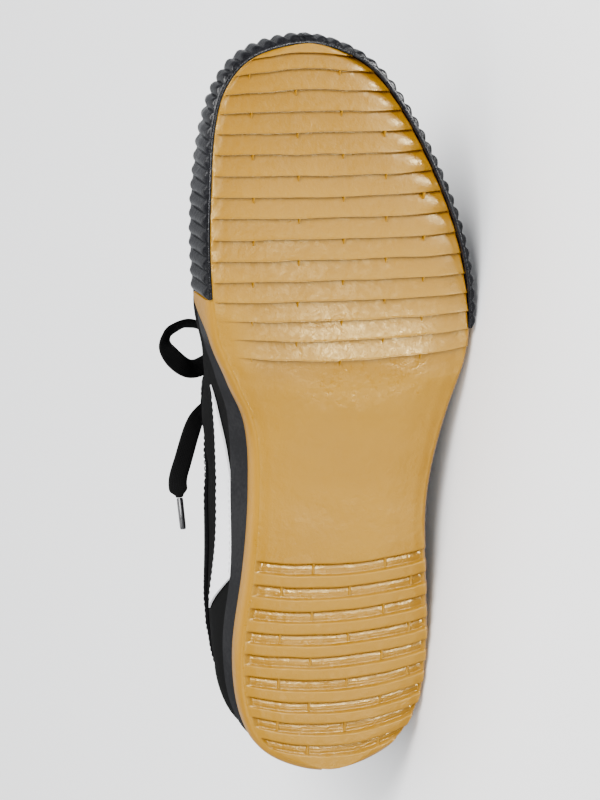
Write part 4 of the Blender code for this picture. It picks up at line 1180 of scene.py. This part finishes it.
def sag(side, share, v):
    """How far soft folds move the canvas off its plain shape."""
    v = np.asarray(v, float)
    total = 0.00025 * np.sin(31 * share + 3.0 * v + side) * np.sin(math.pi * v)
    for k, (at, spread, lean, depth) in enumerate(FOLDS):
        near = at + lean * v + 0.006 * math.sin(2.4 * k + side)
        reach = np.exp(-((share - near) / spread) ** 2)
        total = total - 0.001 * depth * reach * ease(v, 0.12, 0.5) * (1 - 0.55 * ease(v, 0.75, 1.0))
    return total * ease(v, 0.0, 0.12)


def upper_grid(side, shares, v):
    """Outer points, normals and cloth coordinates of one side of the upper."""
    points, normals, cloth = [], [], []
    heights = RIM_HEIGHT, LIP_HEIGHT, 0.5 * (LIP_HEIGHT + FOXING_HEIGHT)
    for share in shares:
        flat = foot_normal(side, share)
        face, normal, _ = skin(side, share, v)
        normal = np.concatenate([[flat] * 4, normal[1:]])
        if share in (0.0, 1.0):
            normal = unit(normal * (1, 0, 1))
        if share >= THROAT_FRONT:
            normal[-1] = unit(normal[-1] * (1, 0, 1))
        line = np.concatenate([[seat(side, share, height) for height in heights], face])
        points.append(line)
        normals.append(normal)
        cloth.append(cloth_grid(line[:, 0], walk(line)))
    return np.array(points), np.array(normals), np.array(cloth)


def add_upper():
    own = [THROAT_TOP, THROAT_FRONT - 0.030, THROAT_FRONT - 0.008, THROAT_FRONT]
    shares = [float(s) for s in even_shares(241) if min(abs(s - k) for k in own) > 0.002]
    shares = sorted(shares + own)
    open_to = shares.index(THROAT_FRONT) + 1
    v = np.concatenate([np.linspace(0, 0.9, 34)[:-1], np.linspace(0.9, 1.0, 8)])
    shape = Shape()
    for side in (INNER, OUTER):
        points, normals, cloth = upper_grid(side, shares, v)
        move = np.zeros(points.shape[:2])
        move[:, 3:] = [sag(side, share, v) for share in shares]
        if side == OUTER:
            move[:, -1] = moved_edge
        moved_edge = move[:, -1]
        outer = points + move[:, :, None] * normals
        inner = outer - WALL * normals
        flip = side == OUTER
        shape.grid(outer, cloth=cloth, flip=flip)
        shape.grid(inner, cloth=cloth, flip=not flip)
        shape.grid(np.stack([outer[:, 0], inner[:, 0]], 1), cloth=cloth[:, :2], flip=not flip)
        shape.grid(np.stack([outer[:open_to, -1], inner[:open_to, -1]], 1),
                   cloth=cloth[:open_to, -2:], flip=flip)
    shape.build("upper", CANVAS, "canvas", weld=2e-5)


def lie_on(side, share, v, lift=SKIN_GAP + OVERLAY):
    """Points lifted off the canvas at one station, with their normals."""
    points, normals, _ = skin(side, float(share), v)
    return points + (sag(side, float(share), v) + lift)[:, None] * normals, normals


def lie_at(side, share, v):
    return [rows[0] for rows in lie_on(side, share, [v])]


def add_overlay(name, look, slot, outer, normals):
    """A closed strip of cloth under a grid of points, with two of its edges rounded off."""
    outer, normals = np.array(outer), np.array(normals)
    low = outer - OVERLAY * normals
    cloth = cloth_grid(walk(outer[:, outer.shape[1] // 2])[:, None], walk(outer[len(outer) // 2]))
    outer[:, [0, -1]] -= 0.35 * OVERLAY * normals[:, [0, -1]]
    add_ringed(name, look, slot, np.concatenate([outer, low[:, ::-1]], 1),
               cloth=np.concatenate([cloth, cloth[:, ::-1]], 1))


def eyestay_width(share):
    return EYESTAY_WIDTH * (1 - 0.55 * ease(share, THROAT_FRONT - 0.01, THROAT_FRONT + 0.028))


def add_eyestay(word, side):
    strip = []
    for share in np.linspace(THROAT_TOP + 0.004, THROAT_FRONT + 0.028, 70):
        edge = 0.0006 if share < THROAT_FRONT else 0.0004
        v = np.linspace(v_at(side, share, eyestay_width(share)), v_at(side, share, edge), 14)
        strip.append(lie_on(side, share, v))
    add_overlay(f"eyestay_{word}", TRIM, "canvas_trim", *zip(*strip))


def band_ends(up):
    """Rear and front end of the side tape, this share of its width up."""
    return BAND_REAR - BAND_REAR_SLANT * up, BAND_FRONT + BAND_FRONT_SLANT * up


def band_spot(side, share, up):
    return side, share, v_above(side, share, BAND_GAP + BAND_WIDTH * up)


def add_side_band(word, side):
    up = np.linspace(0, 1, 13)
    rear, front = band_ends(up)
    strip = []
    for t in np.linspace(0, 1, 110):
        shares = rear + (front - rear) * t
        strip.append(zip(*(lie_at(*band_spot(side, s, w)) for s, w in zip(shares, up))))
    add_overlay(f"side_band_{word}", TAPE, "side_tape", *zip(*strip))


def round_heel(shares):
    """Stations from the inner side round the heel to the outer side."""
    return [(INNER, float(s)) for s in shares[:0:-1]] + [(OUTER, float(s)) for s in shares]


def heel_run(width, steps):
    dense = np.linspace(0, 0.12, 400)
    walked = walk(np.array([foot(OUTER, s, UPPER_OUT) for s in dense]))
    return round_heel(np.interp(np.linspace(0, width / 2, steps), walked, dense))


def add_heel_strip():
    strip = []
    for side, share in heel_run(HEEL_STRIP_WIDTH, 12):
        low, high = v_above(side, share, 0.0006), v_at(side, share, BINDING_DEPTH + 0.0008)
        points, normals = lie_on(side, share, np.linspace(low, high, 50))
        strip.append((points, unit(normals * (1, 0, 1)) if share == 0 else normals))
    turned = (np.swapaxes(part, 0, 1) for part in zip(*strip))
    add_overlay("heel_strip", TRIM, "canvas_trim", *turned)


def add_binding():
    near, far = GAP, GAP + OVERLAY
    turn = np.linspace(0, math.pi, 11)[1:-1, None]
    rows = []
    for side, share in round_heel(even_shares(110, THROAT_TOP - 0.003)):
        _, normal, up = wall_frame(side, share, 1.0)
        v = np.linspace(v_at(side, share, BINDING_DEPTH), 1.0, 5)
        points, normals = lie_on(side, share, v, 0.0)
        if share == 0:
            normal, normals = unit(normal * (1, 0, 1)), unit(normals * (1, 0, 1))
        middle = points[-1] - 0.5 * WALL * normal
        spokes = np.cos(turn) * normal + 0.8 * np.sin(turn) * up
        out_face, in_face = points + far * normals, points[::-1] - (WALL + far) * normals[::-1]
        in_back, out_back = points - (WALL + near) * normals, points[::-1] + near * normals[::-1]
        over = middle + (0.5 * WALL + far) * spokes
        under = middle + (0.5 * WALL + near) * spokes[::-1]
        rows.append(np.concatenate([out_face, over, in_face, in_back, under, out_back]))
    rows = np.array(rows)
    cloth = cloth_grid(walk(rows[:, 0])[:, None], walk(rows[len(rows) // 2]))
    add_ringed("collar_binding", TRIM, "binding_tape", rows, cloth=cloth)


STITCH_PITCH = 0.0027
STITCH_LENGTH = 0.0020
STITCH_INSET = 0.0013
THREAD_RADIUS = 0.00024


def stitch_row(shape, spots):
    """Stitches along a run of (side, share, v), on top of the strip they hold."""
    points, normals = (np.array(part) for part in zip(*(lie_at(*spot) for spot in spots)))
    walked = walk(points)
    t = np.linspace(0, 1, 6)
    angle = np.linspace(0, 2 * math.pi, 7)[:-1, None]
    for start in np.arange(0.4 * STITCH_PITCH, walked[-1] - STITCH_LENGTH, STITCH_PITCH):
        middle, normal = (
            np.array([np.interp(start + t * STITCH_LENGTH, walked, column) for column in part.T]).T
            for part in (points, normals)
        )
        normal = unit(normal)
        across = unit(np.cross(np.gradient(middle, axis=0), normal))
        middle = middle + THREAD_RADIUS * (1.1 * np.sin(math.pi * t) - 0.5)[:, None] * normal
        spokes = np.cos(angle) * across[:, None] + np.sin(angle) * normal[:, None]
        shape.grid(middle[:, None] + THREAD_RADIUS * spokes, around=True, caps=True)


def add_stitches():
    black, white = Shape(), Shape()
    inset = STITCH_INSET
    rear, front = THROAT_TOP + 0.010, THROAT_FRONT + 0.024
    for side in (INNER, OUTER):
        run = np.linspace(rear, front, 60)
        stitch_row(black, [(side, s, v_at(side, s, eyestay_width(s) - inset)) for s in run])
        run = np.linspace(rear, THROAT_FRONT - 0.004, 50)
        stitch_row(black, [(side, s, v_at(side, s, 2 * inset)) for s in run])
        for up in (inset / BAND_WIDTH, 1 - inset / BAND_WIDTH):
            first, last = band_ends(up)
            run = np.linspace(first + 0.006, last - 0.006, 70)
            stitch_row(white, [band_spot(side, s, up) for s in run])
    reach = heel_run(HEEL_STRIP_WIDTH - 2 * inset, 4)
    for side, share in (reach[0], reach[-1]):
        low, high = v_above(side, share, 0.002), v_at(side, share, BINDING_DEPTH + 0.002)
        stitch_row(black, [(side, share, v) for v in np.linspace(low, high, 40)])
    shares = np.linspace(0.006, THROAT_TOP - 0.008, 120)
    hem = [(INNER, s) for s in shares[::-1]] + [(OUTER, s) for s in shares]
    stitch_row(black, [(side, s, v_at(side, s, BINDING_DEPTH - inset)) for side, s in hem])
    black.build("stitches_black", BLACK_THREAD, "canvas_trim", replaces=False)
    white.build("stitches_white", WHITE_THREAD, "side_tape", replaces=False)


def add_eyelet(word, side, number, share):
    point, normal, up = wall_frame(side, share, v_at(side, share, EYELET_INSET))
    across = np.cross(normal, up)
    base = point + (2 * SKIN_GAP + OVERLAY) * normal
    profile = (
        (EYELET_HOLE, 0.0), (EYELET_RADIUS, 0.0), (EYELET_RADIUS, 0.0002),
        (0.96 * EYELET_RADIUS, 0.0005), (0.85 * EYELET_RADIUS, 0.0008),
        (0.72 * EYELET_RADIUS, EYELET_THICKNESS), (0.60 * EYELET_RADIUS, 0.0008),
        (1.04 * EYELET_HOLE, 0.0005),
    )
    rows = []
    for angle in np.linspace(0, 2 * math.pi, 36, endpoint=False):
        spoke = math.cos(angle) * up + math.sin(angle) * across
        rows.append([base + reach * spoke + rise * normal for reach, rise in profile])
    shape = Shape()
    shape.grid(rows, around=True, closed=True)
    shape.build(f"eyelet_{word}_{number}", METAL, "eyelet")


# Inside

def add_insole():
    out, low = UPPER_OUT - WALL - GAP, SOLE_THICKNESS + GAP
    q = np.linspace(-1, 1, 33)
    rise = INSOLE_THICKNESS - 0.0004 + 0.0004 * q**2 - 0.0006 * ease(abs(q), 0.96, 1.0)
    rows, cloth = [], []
    for share in even_shares(121)[2:-2]:
        edge = out + min(flare(INNER, share, low + INSOLE_THICKNESS), 0.0)
        inner, outer = foot(INNER, share, edge), foot(OUTER, share, edge)
        flat = inner + (outer - inner) * (q[:, None] + 1) / 2
        floor = ground(flat[:, 0]) + low
        top, under, marks = (np.column_stack([flat, z]) for z in (floor + rise, floor, 0 * q))
        rows.append(np.concatenate([top, under[::-1]]))
        cloth.append(np.concatenate([marks, marks[::-1]]))
    add_ringed("insole", LINING, "sock_lining", rows, cloth=cloth)


def run_on(rings, reach, narrow, sink=0.0):
    """A ring this far past the first one, narrowed and lowered."""
    ring = rings[0] + unit((rings[0] - rings[1]).mean(0)) * reach
    middle = ring[:, 1].mean()
    ring[:, 1] = middle + (ring[:, 1] - middle) * narrow
    ring[:, 2] -= sink
    return ring


def add_tongue():
    w = np.linspace(-1, 1, 41)
    rings = []
    for share in np.linspace(THROAT_FRONT - 0.006, THROAT_TOP + 0.006, 60):
        top = ease(THROAT_TOP + 0.080 - share, 0.0, 0.06)
        depth = WALL + 2.5 * GAP + OVERLAY * top
        over, under = [], []
        for x, more in zip(w * (1 - 0.52 * top), 0.0005 * (1 - w**4)):
            point, normal = throat_frame(float(share), float(x))
            over.append(point - (depth + 0.0004 - 0.5 * more) * normal)
            under.append(point - (depth + TONGUE_THICKNESS - 0.0002 + more) * normal)
        rings.append(np.array(over + under[::-1]))
    toe_end = [run_on(rings, TONGUE_LAP * k, 1 - 0.2 * k, 0.0004 * k) for k in (1.0, 0.66, 0.33)]
    free_end = [
        run_on(rings[::-1], TONGUE_RISE * k, narrow)
        for k, narrow in ((0.15, 1.0), (0.30, 1.0), (0.45, 0.99), (0.60, 0.95), (0.75, 0.89),
                          (0.87, 0.82), (0.95, 0.73), (1.0, 0.60))
    ]
    rows = np.array(toe_end + rings + free_end)
    cloth = cloth_grid(walk(rows[:, 20])[:, None], walk(rows[30]))
    add_ringed("tongue", CANVAS, "canvas", rows, cloth=cloth)


add_outsole()
add_foxing()
add_guard()
add_upper()
add_insole()
add_tongue()
for word, side in (("inner", INNER), ("outer", OUTER)):
    add_eyestay(word, side)
    add_side_band(word, side)
    for k, share in enumerate(eyelet_shares()):
        add_eyelet(word, side, k + 1, float(share))
add_heel_strip()
add_binding()
add_stitches()


# Studio

SHOE_MIDDLE = (0.0, 0.0, 0.04)
FLOOR_REACH = 6.0
GLINT_REACH = 1.0


def add_floor():
    look = Look("floor", {"Roughness": 0.7})
    look.paint(look.mix(look.noise(3.0), (0.92, 0.92, 0.92), (0.94, 0.94, 0.94)))
    mesh = bpy.data.meshes.new("floor")
    corners = ((-1, -1), (1, -1), (1, 1), (-1, 1))
    mesh.from_pydata([(x * FLOOR_REACH, y * FLOOR_REACH, 0) for x, y in corners], [],
                     [(0, 1, 2, 3)])
    mesh.materials.append(look.made)
    made = add_object("floor", mesh)
    made.visible_shadow = False
    made.visible_glossy = False
    made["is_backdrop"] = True


def add_light(name, place, aim, size, power):
    data = bpy.data.lights.new(name, "AREA")
    data.shape = "RECTANGLE"
    data.size, data.size_y = size
    data.energy = power
    made = add_object(name, data)
    made.location = place
    made.rotation_mode = "QUATERNION"
    made.rotation_quaternion = (Vector(aim) - Vector(place)).to_track_quat("-Z", "Y")
    return made


def add_glint(name, spot, tilt, size, power):
    """A lamp where a tread tilted by this much to toe and outer side mirrors the camera."""
    spot = np.array(spot)
    view = unit(TARGET + DISTANCE * AWAY - spot)
    normal = unit(np.array([*tilt, -1.0]))
    mirror = 2 * (view @ normal) * normal - view
    lamp = add_light(name, to_row(spot + GLINT_REACH * mirror), to_row(spot), size, power)
    lamp.visible_diffuse = False


def add_studio():
    add_floor()
    add_light("key", (1.1, -1.0, 1.5), SHOE_MIDDLE, (0.9, 0.9), 66.0)
    add_light("fill", (-1.3, -1.2, 1.1), SHOE_MIDDLE, (1.6, 1.2), 26.0)
    add_light("top", (0.1, 0.5, 1.9), SHOE_MIDDLE, (2.4, 2.4), 44.0)
    add_glint("glint_ball", (0.166, 0.012, 0.0), (0.20, 0.00), (0.24, 0.10), 9.0)
    add_glint("glint_heel", (0.045, -0.008, 0.0), (0.00, 0.00), (0.12, 0.16), 2.4)
    add_glint("glint_toe", (0.255, 0.024, 0.010), (0.50, 0.27), (0.32, 0.18), 26.0)
    world = bpy.data.worlds.new("studio")
    world.use_nodes = True
    sky = world.node_tree.nodes["Background"].inputs
    sky["Color"].default_value = (0.9, 0.92, 0.95, 1.0)
    sky["Strength"].default_value = 0.84
    bpy.context.scene.world = world


add_studio()

scene_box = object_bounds()
[[list(corner) for corner in box] for box in (cad_box, scene_box)]
